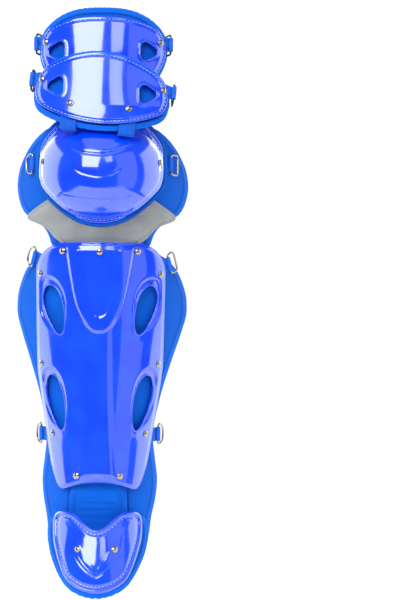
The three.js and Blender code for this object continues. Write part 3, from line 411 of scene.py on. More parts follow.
def inward(ring, distance, passes=1):
    """The ring moved in from the edge by a distance, in small strides that are smoothed as they go."""
    strides = max(1, int(np.ceil(distance / STRIDE)))
    for _ in range(strides):
        run = np.roll(ring, -1, 0) - np.roll(ring, 1, 0)
        normal = np.stack([-run[:, 1], run[:, 0]], 1) / np.maximum(1e-9, np.hypot(*run.T))[:, None]
        ring = soften(ring + normal * distance / strides, passes)
    return ring


def evenly(points, pitch, closed=False):
    """Points at an even pitch along a line of points."""
    points = np.vstack([points, points[:1]]) if closed else np.asarray(points, float)
    run = np.concatenate([[0], np.cumsum(np.hypot(*np.diff(points, axis=0).T))])
    count = max(2, int(round(run[-1] / pitch)))
    places = np.linspace(0, run[-1], count, endpoint=not closed)
    return np.stack([np.interp(places, run, points[:, k]) for k in (0, 1)], 1)


turn = np.linspace(0, 2 * np.pi, 60, endpoint=False)
circle = 10 * np.stack([np.cos(turn), np.sin(turn)], 1)
print("a 10 mm circle walked in by 2 mm has a radius of", round(float(np.hypot(*inward(circle, 2).T).mean()), 2))

# %% [markdown]
# ## Rings of points
# A flat piece could be one big face or a grid. A single face can't bend, and a grid crosses the edge in steps. Rings
# that start on the cut edge and close on a spine bend with the leg and keep every seam on one loop of the mesh. A
# window is opened by leaving faces out and pulling the points round them onto its outline.

# %% Pattern of rings
class Pattern:
    """Rings of points from an outline to a spine, with each point's distance to the edge."""

    def __init__(self, outline, spine, pitch=1.8, passes=6, band=8.0, inset=0.0, windows=()):
        fine = np.linspace(0, 1, 200)
        halves = []
        for edge in (1, 0):
            t = np.concatenate([0.5 + (edge - 0.5) * fine, np.full(200, edge), edge + (0.5 - edge) * fine])
            v = np.concatenate([0 * fine, fine, 1 + 0 * fine])
            x, z = outline(t, v)
            halves.append((x, z, np.concatenate([[0], np.cumsum(np.hypot(np.diff(x), np.diff(z)))])))
        count = 2 * int(max(run[-1] for _, _, run in halves) / pitch / 2)
        sides = []
        for x, z, run in halves:
            places = np.linspace(0, run[-1], count + 1)
            sides.append(np.stack([np.interp(places, run, x), np.interp(places, run, z)], 1))
        ring = np.concatenate([sides[0], sides[1][-2:0:-1]])
        turned = np.sum(ring[:, 0] * np.roll(ring[:, 1], -1) - ring[:, 1] * np.roll(ring[:, 0], -1)) < 0
        if turned:
            ring = np.roll(ring[::-1], 1, 0)
        ring = soften(ring, passes)
        if inset:
            ring = inward(ring, inset)
        low, high = (np.array(outline(np.array(t), np.array(v))) for t, v in spine)
        axis = high - low
        if abs(axis[0]) > abs(axis[1]):
            ring = np.roll(ring, -len(ring) // 4, 0)
        self.edge_line = ring
        rings = [ring]
        travelled = 0
        for stride in [0.5, 0.6] + [0.85] * 40:
            if travelled + stride > band:
                break
            travelled += stride
            rings.append(inward(rings[-1], stride))
        share = np.clip((rings[-1] - low) @ axis / (axis @ axis), 0, 1)
        goal = low + share[:, None] * axis
        last = rings[-1]
        length = np.hypot(*(last - goal).T)
        stop = goal + (last - goal) * np.minimum(1, 0.6 / np.maximum(length, 1e-6))[:, None]
        steps = max(3, int(np.ceil(length.max() / pitch)))
        rings += [last + (stop - last) * k / steps for k in range(1, steps + 1)]
        points = np.array(rings)
        self.x, self.z = points[..., 0], points[..., 1]
        self.edge = distance_to(self.x, self.z, evenly(ring, 0.6, closed=True))
        self.cut = self.open_windows(windows)

    def open_windows(self, windows):
        """Marks the faces that lie in a window and pulls the points round it onto its outline."""
        rings, count = self.x.shape
        dropped = np.zeros((rings - 1, count), bool)
        for window in windows:
            share = window.share(self.x, self.z)
            corner = [share[:-1], share[1:], np.roll(share, -1, 1)[:-1], np.roll(share, -1, 1)[1:]]
            here = sum(corner) / 4 < 1
            touched = np.zeros((rings, count), bool)
            kept = np.zeros((rings, count), bool)
            for down in (0, 1):
                for over in (0, 1):
                    touched[down:rings - 1 + down] |= np.roll(here, over, 1)
                    kept[down:rings - 1 + down] |= np.roll(~here, over, 1)
            rim = touched & kept
            pull = np.where(rim, 1 / np.maximum(share, 1e-6), 1)
            self.x = window.x + (self.x - window.x) * pull
            self.z = window.z + (self.z - window.z) * pull
            dropped |= here
        return dropped


def distance_to(x, z, line):
    """Distance from every place to the nearest point of a dense line."""
    tree = KDTree(len(line))
    for k, (a, b) in enumerate(line):
        tree.insert((a, b, 0), k)
    tree.balance()
    flat = [tree.find((a, b, 0))[2] for a, b in zip(x.ravel(), z.ravel())]
    return np.array(flat).reshape(x.shape)


circle_pattern = Pattern(square_cut, ((0.5, 0.4), (0.5, 0.6)), band=2)
print("a small pattern has rings x points:", circle_pattern.x.shape)

# %% [markdown]
# ## One mesh for each piece
# A sewn piece is cloth, thread and binding together. They could be separate objects, but the frame counts pieces, so
# one mesh collects them. It carries real cloth coordinates and the distance to the cut edge for the shaders, holds
# the materials that it is made of, rides on the root and hides the solid that it stands for.

# %% Collect parts into a piece
class Piece:
    """A mesh that is put together part by part in millimetres."""

    def __init__(self):
        self.points, self.faces, self.slots, self.cloth, self.edge, self.materials = [], [], [], [], [], []
        self.count, self.values = 0, {}

    def add(self, points, faces, material, cloth=None, edge=None):
        if material not in self.materials:
            self.materials.append(material)
        slot = self.materials.index(material)
        for block in faces:
            self.faces += (np.asarray(block) + self.count).tolist()
            self.slots += [slot] * len(block)
        if len(points):
            self.points.append(points)
            self.cloth.append(np.zeros((len(points), 2)) if cloth is None else cloth)
            self.edge.append(np.full(len(points), 99.0) if edge is None else edge)

    def close(self, points):
        """Ends a part, so that the next part's faces count from its own first point."""
        self.count += len(points)

    def finish(self, name, nodes):
        mesh = bpy.data.meshes.new(name)
        points = np.concatenate(self.points)
        mesh.from_pydata((points * MM).tolist(), [], self.faces)
        for material in self.materials:
            mesh.materials.append(material)
        mesh.polygons.foreach_set("material_index", self.slots)
        mesh.polygons.foreach_set("use_smooth", [True] * len(self.faces))
        cloth = np.concatenate(self.cloth)
        corner = np.empty(len(mesh.loops), int)
        mesh.loops.foreach_get("vertex_index", corner)
        mesh.uv_layers.new(name="cloth").data.foreach_set("uv", (cloth[corner] / 100).astype(np.float32).ravel())
        for label, value in {"edge": np.concatenate(self.edge), **self.values}.items():
            mesh.attributes.new(label, "FLOAT", "POINT").data.foreach_set("value", value.astype(np.float32))
        body = bmesh.new()
        body.from_mesh(mesh)
        loose = [v for v in body.verts if not v.link_faces]
        bmesh.ops.delete(body, geom=loose, context="VERTS")
        bmesh.ops.recalc_face_normals(body, faces=body.faces)
        body.to_mesh(mesh)
        body.free()
        thing = bpy.data.objects.new(name, mesh)
        scene.collection.objects.link(thing)
        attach(thing, "root")
        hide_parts(*nodes)
        print(name, "faces:", len(mesh.polygons))
        return thing


print("a piece sorts its faces by material and rides on root")

# %% [markdown]
# ## Panels
# A panel is a pattern with thickness: cloth over foam, or moulded plastic. A solidify modifier gives one thickness and
# square edges. Here the face and the back each have their own distance out from the form, and a half-round rim rolls
# from one to the other. Round a window, straight walls join them.

# %% Lift a pattern into a panel
RIM_BLUR = 5


def rolled_rim(top, under, bulge, steps):
    """Rows of points that roll from a panel's face round to its back."""
    middle = (top[0] + under[0]) / 2
    half_thick = (top[0] - under[0]) / 2
    outward = middle - (top[1] + under[1]) / 2
    outward = sum(np.roll(outward, step, 0) for step in range(-RIM_BLUR, RIM_BLUR + 1))
    outward /= np.maximum(1e-9, np.linalg.norm(outward, axis=1))[:, None]
    depth = np.minimum(bulge, np.linalg.norm(half_thick, axis=1))[:, None]
    angles = [math.pi * k / (steps + 1) for k in range(1, steps + 1)]
    return [middle + half_thick * math.cos(a) + outward * depth * math.sin(a) for a in angles]


def window_walls(gone, index, size):
    """Faces that join a panel's face to its back round the faces that its windows leave out."""
    rings, count = index.shape
    walls = []
    for k, m in zip(*np.nonzero(gone)):
        n = (m + 1) % count
        sides = [((k, m), (k, n), (k - 1, m)), ((k + 1, n), (k + 1, m), (k + 1, m)),
                 ((k, n), (k + 1, n), (k, n)), ((k + 1, m), (k, m), (k, (m - 1) % count))]
        for a, b, beyond in sides:
            inside = 0 <= beyond[0] < rings - 1 and gone[beyond[0], beyond[1]]
            if not inside:
                walls.append((index[a], index[b], index[b] + size, index[a] + size))
    return walls


def add_panel(piece, pattern, form, front, back, face, reverse, drawn=None, bulge=3.0, rim_steps=4):
    """Lifts a pattern onto a form. front and back give distances out from it for x, z and the edge distance."""
    x, z, edge = pattern.x, pattern.z, pattern.edge
    rings, count = x.shape
    out, deep = front(x, z, edge), back(x, z, edge)
    foot_x, foot_z = form.foot(x, z, out if drawn is None else drawn)
    top, under = form.point(foot_x, foot_z, out), form.point(foot_x, foot_z, deep)
    cloth = np.stack([form.girth(foot_x, foot_z), foot_z], -1)
    index = np.arange(rings * count).reshape(rings, count)
    after = np.roll(index, -1, 1)
    quads = np.stack([index[:-1], after[:-1], after[1:], index[1:]], -1)[~pattern.cut]
    last, half = index[-1], count // 2
    zipper = [(last[k], last[k + 1], last[-k - 1], last[-k]) for k in range(1, half - 1)]
    ends = [(last[0], last[1], last[-1]), (last[half - 1], last[half], last[half + 1])]
    face_blocks = [quads, zipper, ends]
    size = rings * count
    back_blocks = [np.asarray(block)[:, ::-1] + size for block in face_blocks]
    walls = window_walls(pattern.cut, index, size)
    rims = rolled_rim(top, under, bulge, rim_steps)
    loops = [np.arange(count)] + [2 * size + k * count + np.arange(count) for k in range(rim_steps)]
    loops.append(size + np.arange(count))
    rim_faces = [np.stack([a, b, np.roll(b, -1), np.roll(a, -1)], -1) for a, b in zip(loops, loops[1:])]
    points = np.concatenate([top.reshape(-1, 3), under.reshape(-1, 3)] + rims)
    cloth = np.concatenate([cloth.reshape(-1, 2)] * 2 + [cloth[0]] * rim_steps)
    distance = np.concatenate([edge.ravel()] * 2 + [np.zeros(count * rim_steps)])
    piece.add(points, face_blocks, face, cloth, distance)
    piece.add([], back_blocks, reverse)
    piece.add([], rim_faces[:rim_steps // 2], face)
    piece.add([], rim_faces[rim_steps // 2:], reverse)
    if walls:
        piece.add([], [walls], face)
    piece.close(points)


print("a rim's direction is averaged over", 2 * RIM_BLUR + 1, "points")

# %% [markdown]
# ## Stitches
# A stitch is a short capsule of thread that lies in a row along a seam. As a picture on the cloth it would vanish from
# the side, and it catches the light best as a real shape, so each is a few faces of its own.

# %% Thread along a line
STITCH_STATIONS = [(-0.72, 0.75), (0, 1), (0.72, 0.75)]
STITCH_SIDES = 6


def add_stitches(piece, places, normals, material, length=2.3, radius=0.36, slant=0.0):
    """A row of thread capsules, one from each place toward the next."""
    ahead = np.roll(places, -1, 0) - places
    run = ahead / np.maximum(1e-9, np.linalg.norm(ahead, axis=1))[:, None]
    side = np.cross(normals, run)
    run, side = run * math.cos(slant) + side * math.sin(slant), side * math.cos(slant) - run * math.sin(slant)
    turn = [2 * math.pi * k / STITCH_SIDES for k in range(STITCH_SIDES)]
    shape = [(-1, 0, 0)]
    shape += [(a, r * math.cos(t), r * math.sin(t)) for a, r in STITCH_STATIONS for t in turn]
    shape += [(1, 0, 0)]
    body = np.array(shape)
    points = (places[:, None] + run[:, None] * body[None, :, :1] * length / 2
              + side[:, None] * body[None, :, 1:2] * radius + normals[:, None] * body[None, :, 2:] * radius)
    n = STITCH_SIDES
    ring = [(1 + k, 1 + (k + 1) % n) for k in range(n)]
    quads = [(a + s * n, b + s * n, b + (s + 1) * n, a + (s + 1) * n) for s in (0, 1) for a, b in ring]
    tips = [(0, b, a) for a, b in ring] + [(a + 2 * n, b + 2 * n, 3 * n + 1) for a, b in ring]
    shift = (np.arange(len(places)) * len(body))[:, None, None]
    blocks = [(np.array(block)[None] + shift).reshape(-1, len(block[0])) for block in (quads, tips)]
    piece.add(points.reshape(-1, 3), blocks, material)
    piece.close(points.reshape(-1, 3))


def stitch_line(piece, form, line, height, material, pitch=3.3, closed=True, **thread):
    """Stitches along a line in the front view, on the layer whose distance out height gives."""
    spots = evenly(line, pitch, closed)
    if not closed:
        spots = spots[:-1]
    out = height(spots[:, 0], spots[:, 1])
    foot = form.foot(spots[:, 0], spots[:, 1], out)
    add_stitches(piece, form.point(*foot, out), form.normal(*foot), material, **thread)


print("a stitch has", len(STITCH_STATIONS) * STITCH_SIDES + 2, "points")

# %% [markdown]
# ## Beads
# The plastic round a window is rolled into a lip. A bead is a closed cord of the same plastic, a little flatter than
# round, that runs round the window's edge. Rolling the shell's own edge would need a much finer mesh all round it.

# %% A bead along a loop
BEAD_SIDES, BEAD_SQUASH = 8, 0.7


def add_bead(piece, path, normals, radius, material):
    """A closed round bead along a loop of points."""
    run = np.roll(path, -1, 0) - np.roll(path, 1, 0)
    run /= np.linalg.norm(run, axis=1)[:, None]
    side = np.cross(normals, run)
    turns = [2 * math.pi * k / BEAD_SIDES for k in range(BEAD_SIDES)]
    rows = [path + side * radius * math.cos(t) + normals * radius * BEAD_SQUASH * math.sin(t) for t in turns]
    points = np.stack(rows, 1).reshape(-1, 3)
    index = np.arange(len(points)).reshape(len(path), BEAD_SIDES)
    after, over = np.roll(index, -1, 0), np.roll(index, -1, 1)
    quads = np.stack([index, after, np.roll(after, -1, 1), over], -1).reshape(-1, 4)
    piece.add(points, [quads], material)
    piece.close(points)


print("a bead has", BEAD_SIDES, "sides")

# %% [markdown]
# ## The weave
# Four effects come back on many finishes, so each is a node group. The first is the weave. Cloth could be woven thread
# by thread, but from an arm's length only its slanted grain shows, so two fine waves cross and the higher one is the
# thread on top.

# %% Weave group
weave, given, gives = new_group(
    "slanted_weave",
    [("Vector", "Vector", None), ("Threads", "Float", 90.0)],
    [("Height", "Float"), ("Shade", "Float")],
)
across, up, _ = add_node(weave, "ShaderNodeSeparateXYZ", {0: given["Vector"]}).outputs
first = maths(weave, "MULTIPLY", maths(weave, "ADD", across, up), given["Threads"])
second = maths(weave, "MULTIPLY", maths(weave, "SUBTRACT", across, up), given["Threads"])
waves = [maths(weave, "SINE", maths(weave, "MULTIPLY", value, 2 * math.pi)) for value in (first, second)]
height = maths(weave, "MAXIMUM", *waves)
weave.links.new(height, gives["Height"])
# The shade output is painted shade: it is lower where the weave is low, so the cloth is darker between its threads.
weave.links.new(ramp_between(weave, height, -0.6, 1.0), gives["Shade"])

print("group:", weave.name)

# %% [markdown]
# ## The edge band
# A binding is a strip sewn over the cut edge. It has its own colour, and a thin line of painted shade along the seam
# where it ends. Both follow from the distance to the edge that every point carries, so one mask does for bindings and
# another for the painted seam shade.

# %% Edge band group
band, given, gives = new_group(
    "edge_band",
    [("Distance", "Float", 0.0), ("Width", "Float", 5.0), ("Softness", "Float", 0.3)],
    [("Mask", "Float"), ("Seam", "Float")],
)
inner = maths(band, "ADD", given["Width"], given["Softness"])
band.links.new(ramp_between(band, given["Distance"], given["Width"], inner, 1.0, 0.0), gives["Mask"])
# The seam mask marks a thin line of painted shade just inside the band.
away = maths(band, "ABSOLUTE", maths(band, "SUBTRACT", given["Distance"], maths(band, "ADD", given["Width"], 0.5)))
band.links.new(ramp_between(band, away, 0.2, 1.1, 1.0, 0.0), gives["Seam"])

print("group:", band.name)

# %% [markdown]
# ## The punched holes
# The liner breathes through small dark diamonds in staggered rows. They are far too many to cut from the mesh. Two
# lattices of diamonds, one moved by half a step, are laid over the cloth coordinates and the nearer one wins.

# %% Punched holes group
holes, given, gives = new_group(
    "staggered_diamonds",
    [("Vector", "Vector", None), ("Across", "Float", 5.9), ("Up", "Float", 8.06), ("Size", "Float", 0.2)],
    [("Mask", "Float")],
)
across, up, _ = add_node(holes, "ShaderNodeSeparateXYZ", {0: given["Vector"]}).outputs
across, up = maths(holes, "MULTIPLY", across, given["Across"]), maths(holes, "MULTIPLY", up, given["Up"])
lattices = []
for shift in (0.0, 0.5):
    parts = [maths(holes, "FRACT", maths(holes, "ADD", v, shift)) for v in (across, up)]
    offsets = [maths(holes, "ABSOLUTE", maths(holes, "SUBTRACT", part, 0.5)) for part in parts]
    lattices.append(maths(holes, "ADD", offsets[0], maths(holes, "MULTIPLY", offsets[1], 1.05)))
nearest = maths(holes, "MINIMUM", *lattices)
inner = maths(holes, "MULTIPLY", given["Size"], 0.7)
holes.links.new(ramp_between(holes, nearest, inner, given["Size"], 1.0, 0.0), gives["Mask"])

print("group:", holes.name)

# %% [markdown]
# ## Handling
# Nothing that is worn and carried is evenly smooth. A broad noise rubs some places duller than others, and a finer one
# gives moulded plastic and wire their faint waviness.

# %% Handling group
handling, given, gives = new_group(
    "handling",
    [("Scale", "Float", 40.0), ("Low", "Float", 0.1), ("High", "Float", 0.2)],
    [("Roughness", "Float"), ("Height", "Float"), ("Patch", "Float")],
)
place = add_node(handling, "ShaderNodeTexCoord").outputs["Object"]
broad = add_node(handling, "ShaderNodeTexNoise", {"Vector": place, "Scale": given["Scale"], "Detail": 3}).outputs[0]
finer = maths(handling, "MULTIPLY", given["Scale"], 9)
fine = add_node(handling, "ShaderNodeTexNoise", {"Vector": place, "Scale": finer, "Detail": 2}).outputs[0]
rough = add_node(
    handling,
    "ShaderNodeMapRange",
    {"Value": broad, "From Min": 0.3, "From Max": 0.7, "To Min": given["Low"], "To Max": given["High"]},
).outputs[0]
handling.links.new(rough, gives["Roughness"])
handling.links.new(fine, gives["Height"])
handling.links.new(broad, gives["Patch"])
print("group:", handling.name)

# %% [markdown]
# ## Azure cloth
# The front is woven azure cloth, with painted shade that makes it a little darker between its threads and in its seams.
# It reads cloth coordinates that run round the leg and up it in real distances, so the weave keeps its size wherever
# the cloth bends. A picture of cloth wrapped over the piece would stretch there.

# %% Azure cloth
AZURE = srgb(8, 114, 236)
# The darker azure is painted shade between the threads.
AZURE_DARK = srgb(2, 90, 208)
BINDING_FRONT = srgb(16, 112, 236)
# Painted shade along the seam inside the binding.
SEAM_SHADE = srgb(2, 52, 150)
FRONT_BINDING_WIDTH = 4.6


def cloth_inputs(tree):
    """Cloth coordinates and the distance to the cut edge."""
    vector = add_node(tree, "ShaderNodeUVMap", uv_map="cloth").outputs[0]
    edge = add_node(tree, "ShaderNodeAttribute", attribute_name="edge").outputs["Fac"]
    return vector, edge


def woven(name, light, dark, binding, width, threads=80.0, depth=0.00025):
    material, tree, surface = new_material(name, Roughness=0.8, Specular_IOR_Level=0.15)
    vector, edge = cloth_inputs(tree)
    threads_out = use_group(tree, weave, {"Vector": vector, "Threads": threads})
    worn = use_group(tree, handling, {"Scale": 22.0, "Low": 0.72, "High": 0.9})
    # Painted shade between the threads, times a broad patch of uneven tone.
    shade = maths(tree, "MULTIPLY", threads_out["Shade"], ramp_between(tree, worn["Patch"], 0.25, 0.75, 0.55, 1.0))
    colour = mix_colours(tree, shade, dark, light)
    bound = use_group(tree, band, {"Distance": edge, "Width": width, "Softness": 0.3})
    whole = mix_colours(tree, bound["Mask"], colour, binding)
    # Painted shade: a darker line along the seam inside the binding.
    seam = maths(tree, "MULTIPLY", bound["Seam"], 0.55)
    tree.links.new(mix_colours(tree, seam, whole, SEAM_SHADE), surface["Base Color"])
    tree.links.new(worn["Roughness"], surface["Roughness"])
    tree.links.new(bump(tree, threads_out["Height"], depth, 0.7), surface["Normal"])
    return material


azure_cloth = woven("azure_cloth", AZURE, AZURE_DARK, BINDING_FRONT, FRONT_BINDING_WIDTH)
plain_azure = woven("azure_plain_cloth", AZURE, AZURE_DARK, AZURE, -1.0)
print("cloths:", azure_cloth.name, plain_azure.name)

# %% [markdown]
# ## The punched liner
# The side toward the leg is a grey liner with punched holes, inside a deep blue binding that is wrapped round from the
# edge. The holes are dented, and painted shade colours them dark. A faint painted shadow marks the quilt line. On the
# tongue the binding doesn't run round the edge, but straight across.

# %% Liner and its binding
BINDING_BACK = srgb(4, 24, 212)
LINER = srgb(178, 179, 181)
# The darker grey is painted shade between the liner's threads.
LINER_DARK = srgb(128, 130, 134)
# Painted shade inside the punched holes.
HOLE_SHADE = srgb(44, 44, 48)
QUILT_SHADE = srgb(60, 62, 66)
QUILT_LINE = 17.0
BACK_BINDING_WIDTH = 5.0
TONGUE_BAR = -119.0


def punched_liner(name, bar=None):
    """The liner inside its binding. A bar is the height in millimetres of a binding that crosses it."""
    material, tree, surface = new_material(name, Specular_IOR_Level=0.3)
    vector, edge = cloth_inputs(tree)
    threads_out = use_group(tree, weave, {"Vector": vector, "Threads": 62.0})
    hole = use_group(tree, holes, {"Vector": vector})["Mask"]
    worn = use_group(tree, handling, {"Scale": 18.0, "Low": 0.6, "High": 0.85})
    mask = use_group(tree, band, {"Distance": edge, "Width": BACK_BINDING_WIDTH, "Softness": 0.3})["Mask"]
    if bar is not None:
        up = add_node(tree, "ShaderNodeSeparateXYZ", {0: vector}).outputs[1]
        from_bar = maths(tree, "ABSOLUTE", maths(tree, "SUBTRACT", maths(tree, "MULTIPLY", up, 100.0), bar))
        mask = use_group(tree, band, {"Distance": from_bar, "Width": BACK_BINDING_WIDTH, "Softness": 0.3})["Mask"]
    # Painted shade darkens the liner between its threads.
    grey = mix_colours(tree, threads_out["Shade"], LINER_DARK, LINER)
    # Painted shade: each punched hole is coloured dark for the shade inside it.
    punched = mix_colours(tree, hole, grey, HOLE_SHADE)
    quilted = use_group(tree, band, {"Distance": edge, "Width": QUILT_LINE, "Softness": 0.3})["Seam"]
    shaded = mix_colours(tree, maths(tree, "MULTIPLY", quilted, 0.5), punched, QUILT_SHADE)
    tree.links.new(mix_colours(tree, mask, shaded, BINDING_BACK), surface["Base Color"])
    tree.links.new(worn["Roughness"], surface["Roughness"])
    dent = maths(tree, "MULTIPLY", hole, maths(tree, "SUBTRACT", 1.0, mask))
    woven_normal = bump(tree, threads_out["Height"], 0.0003, 0.7)
    tree.links.new(bump(tree, maths(tree, "SUBTRACT", 1.0, dent), 0.0011, 0.9, woven_normal), surface["Normal"])
    return material


liner = punched_liner("grey_liner")
tongue_liner = punched_liner("tongue_liner", bar=TONGUE_BAR)
print("liners:", liner.name, tongue_liner.name)

# %% [markdown]
# ## Thread
# The seams on the shells are sewn with light thread that shines a little, and those on the cloth with dark thread.
# Their colours alone would look like paint, so a fine noise breaks up the gloss.

# %% Light and dark thread
thread, tree, surface = new_material("azure_thread", Base_Color=srgb(150, 200, 252), Roughness=0.5)
worn = use_group(tree, handling, {"Scale": 300.0, "Low": 0.4, "High": 0.65})
tree.links.new(worn["Roughness"], surface["Roughness"])
tree.links.new(bump(tree, worn["Height"], 0.0002), surface["Normal"])
dark_thread, tree, surface = new_material("deep_blue_thread", Base_Color=srgb(4, 48, 140), Roughness=0.6)
worn = use_group(tree, handling, {"Scale": 300.0, "Low": 0.5, "High": 0.7})
tree.links.new(worn["Roughness"], surface["Roughness"])
print("threads:", thread.name, dark_thread.name)

# %% [markdown]
# ## The gloss finish
# The shells are injection-moulded and polished. A clear coat over a deep blue body gives the two-layered gloss, and
# a whisper of waviness keeps the mirrored windows from looking like glass.

# %% Polished blue plastic
shell_plastic, tree, surface = new_material(
    "polished_blue_shell",
    Base_Color=srgb(0, 72, 250),
    Roughness=0.16,
    Specular_IOR_Level=0.8,
    Coat_Weight=1.0,
    Coat_IOR=1.6,
    Coat_Roughness=0.03,
)
worn = use_group(tree, handling, {"Scale": 26.0, "Low": 0.1, "High": 0.2})
depth_of_colour = ramp_between(tree, worn["Patch"], 0.3, 0.7)
tree.links.new(mix_colours(tree, depth_of_colour, srgb(0, 66, 244), srgb(2, 78, 254)), surface["Base Color"])
tree.links.new(worn["Roughness"], surface["Roughness"])
tree.links.new(bump(tree, worn["Height"], 0.00002, 0.4), surface["Normal"])
print("shell gloss:", shell_plastic.name)

# %% [markdown]
# ## How a pad is made
# Every padded piece is azure cloth and liner over foam, bound together at the edge. It could be a block with a cloth
# texture, but a real pad is thinnest at its binding, swells inside it and is pinched again at a quilt line. Those
# three are written as small reliefs over the distance to the edge, so that they follow any outline.

# %% Pad builder
LAYER_GAP = 0.9
PAD_RIM = 4.2


def groove(distance, width=0.9):
    return np.exp(-(distance / width) ** 2)


def quarter_round(edge, width):
    """One at the cut edge, falling to zero like a quarter circle over the width."""
    return 1 - np.sqrt(1 - (1 - np.clip(edge / width, 0, 1)) ** 2)


def pad_front(thickness, lift):
    """Distance out of a padded cloth's face: rounded off to the rim, with a seam inside the binding."""
    def out(x, z, edge):
        roll = quarter_round(edge, 6)
        return lift(x, z) - (thickness - PAD_RIM) / 2 * roll - 0.8 * groove(edge - FRONT_BINDING_WIDTH - 0.4, 0.9)
    return out


def pad_back(thickness, lift):
    """Distance out of its liner: a raised binding, a seam, and a swell with a quilt line round it."""
    def out(x, z, edge):
        roll = quarter_round(edge, 6)
        pinch = 1.3 * groove(edge - BACK_BINDING_WIDTH, 1.1) + 2.4 * groove(edge - QUILT_LINE, 2.2)
        swell = 1.4 * smooth(BACK_BINDING_WIDTH, BACK_BINDING_WIDTH + 5, edge) * (1 - groove(edge - QUILT_LINE, 4))
        return lift(x, z) - thickness + (thickness - PAD_RIM) / 2 * roll + pinch - swell
    return out


def build_pad(name, node, pattern, thickness, form=leg, stitch_at=6.8, lift=lambda x, z: 0, extra=None):
    """A padded cloth whose face lies on the form, or lifted off it, with a row of stitches inside its edge."""
    piece = Piece()
    add_panel(piece, pattern, form, pad_front(thickness, lift), pad_back(thickness, lift), azure_cloth, liner)
    line = inward(pattern.edge_line, stitch_at)
    stitch_line(piece, form, line, lambda x, z: lift(x, z) - 0.12, dark_thread, length=1.9, radius=0.32)
    if extra:
        extra(piece)
    piece.finish(name, [node])


print("a pad's rim is", PAD_RIM, "mm thick")

# %% [markdown]
# ## Shin wings
# The two padded wings wrap the calf. Their outlines are cut from one table, mirrored for the other side. A curved
# seam runs down each beside the shell, sewn through the cloth.

# %% Build the wings
WALL_PAD = 11
WING_LENGTH, WING_SPAN, WING_TAIL = 342, 201, 70
WING_SEAM_ROWS = {"up": [-108, -60, 0, 60, 110, 150, 172], "half": [52, 55, 54, 66, 82, 82, 70]}
WING_ROWS = {
    "up": [0, 0.02, 0.05, 0.11, 0.17, 0.23, 0.31, 0.38, 0.5, 0.62, 0.73, 0.8, 0.84, 0.9, 0.95, 0.985, 1],
    "inner": [0.42, 0.37, 0.325, 0.28, 0.26, 0.26, 0.26, 0.26, 0.26, 0.26, 0.262, 0.28, 0.32, 0.37, 0.4, 0.44, 0.49],
    "outer": [0.51, 0.553, 0.585, 0.61, 0.655, 0.675, 0.645, 0.62, 0.69, 0.81, 0.935, 0.995, 0.99, 0.935, 0.845,
              0.7, 0.6],
}


def wing_seam(side):
    """Sews the curved seam that runs down a wing beside the shell."""
    z = np.linspace(-100, 168, 90)
    line = np.stack([side * along(WING_SEAM_ROWS, "half", z), z], 1)
    return lambda piece: stitch_line(
        piece, leg, line, lambda x, z: 0 * x - 0.1, dark_thread, closed=False, length=1.9, radius=0.3
    )


for side, hand in ((-1, "left"), (1, "right")):
    outline = Outline(WING_ROWS, SHIN_BASE - WING_TAIL, WING_LENGTH, WING_SPAN, rise=3, drop=5, side=side)
    pattern = Pattern(outline, ((0.5, 0.09), (0.5, 0.93)), pitch=2.0, inset=2.0)
    build_pad("wing_" + hand, "shin_wing_" + hand, pattern, WALL_PAD, extra=wing_seam(side))

# %% [markdown]
# ## Windows
# The shells are lightened by windows: long leaves on the shin and small rounded petals on the flaps. A boolean cut
# would leave ragged faces. Each window instead says how far any place lies from its middle, as a share of the way to
# its edge, and the pattern uses that to drop faces and pull points onto the edge.

# %% Leaf and petal windows
class Leaf:
    """A window that is blunt above and narrower below, leaning outward at its top."""

    def __init__(self, x, z, half_length, half_width, lean):
        self.x, self.z, self.length, self.width = x, z, half_length, half_width
        self.turn = math.radians(lean) * np.sign(x)

    def share(self, x, z):
        dx, dz = x - self.x, z - self.z
        upward = (dx * math.sin(self.turn) + dz * math.cos(self.turn)) / self.length
        aside = (dx * math.cos(self.turn) - dz * math.sin(self.turn)) / self.width
        return np.sqrt(upward ** 2 + (aside / np.maximum(0.3, 1 + 0.18 * np.clip(upward, -1.6, 1.6))) ** 2)

    def loop(self, count=90, grow=0.0):
        angle = np.linspace(0, 2 * np.pi, count, endpoint=False)
        upward = (self.length + grow) * np.sin(angle)
        aside = (self.width + grow) * np.cos(angle) * (1 + 0.18 * np.sin(angle))
        cos, sin = math.cos(self.turn), math.sin(self.turn)
        return np.stack([self.x + aside * cos + upward * sin, self.z + upward * cos - aside * sin], 1)


class Petal:
    """A window with three rounded corners, one of which points outward."""

    def __init__(self, x, z, radius):
        self.x, self.z, self.radius = x, z, radius
        self.corner = math.radians(60 if x < 0 else 120)

    def reach(self, angle):
        return self.radius * (1 + 0.13 * np.cos(3 * (angle - self.corner)))

    def share(self, x, z):
        across, up = (x - self.x) / 0.94, z - self.z
        return np.hypot(across, up) / self.reach(np.arctan2(up, across))

    def loop(self, count=60, grow=0.0):
        angle = np.linspace(0, 2 * np.pi, count, endpoint=False)
        reach = self.reach(angle) + grow
        return np.stack([self.x + reach * 0.94 * np.cos(angle), self.z + reach * np.sin(angle)], 1)


print("a petal's reach at its corner:", round(Petal(-50, 0, 10).reach(math.radians(60)), 2), "mm")

# %% [markdown]
# ## How a shell is made
# Each shell has a thin flange that is sewn or riveted down, a small step up to its body, and a rolled lip round each
# window. Its relief is a sum of soft steps over the edge distance and the window's share. A sculpted mesh could hold
# the same relief, but a sum can be measured and changed.

# %% Shell builder
SHELL_WALL, SHELL_BACK = 3, 2
FLANGE, FLANGE_STEP = 3.4, 1.0
LIP_RADIUS = 1.1


def window_lip(windows):
    """Raises the plastic a little round its windows."""
    def out(x, z):
        total = 0 * x
        for window in windows:
            size = getattr(window, "radius", None) or window.width
            total = total + 0.9 * groove((window.share(x, z) - 1) * size, 2.2)
        return total
    return out


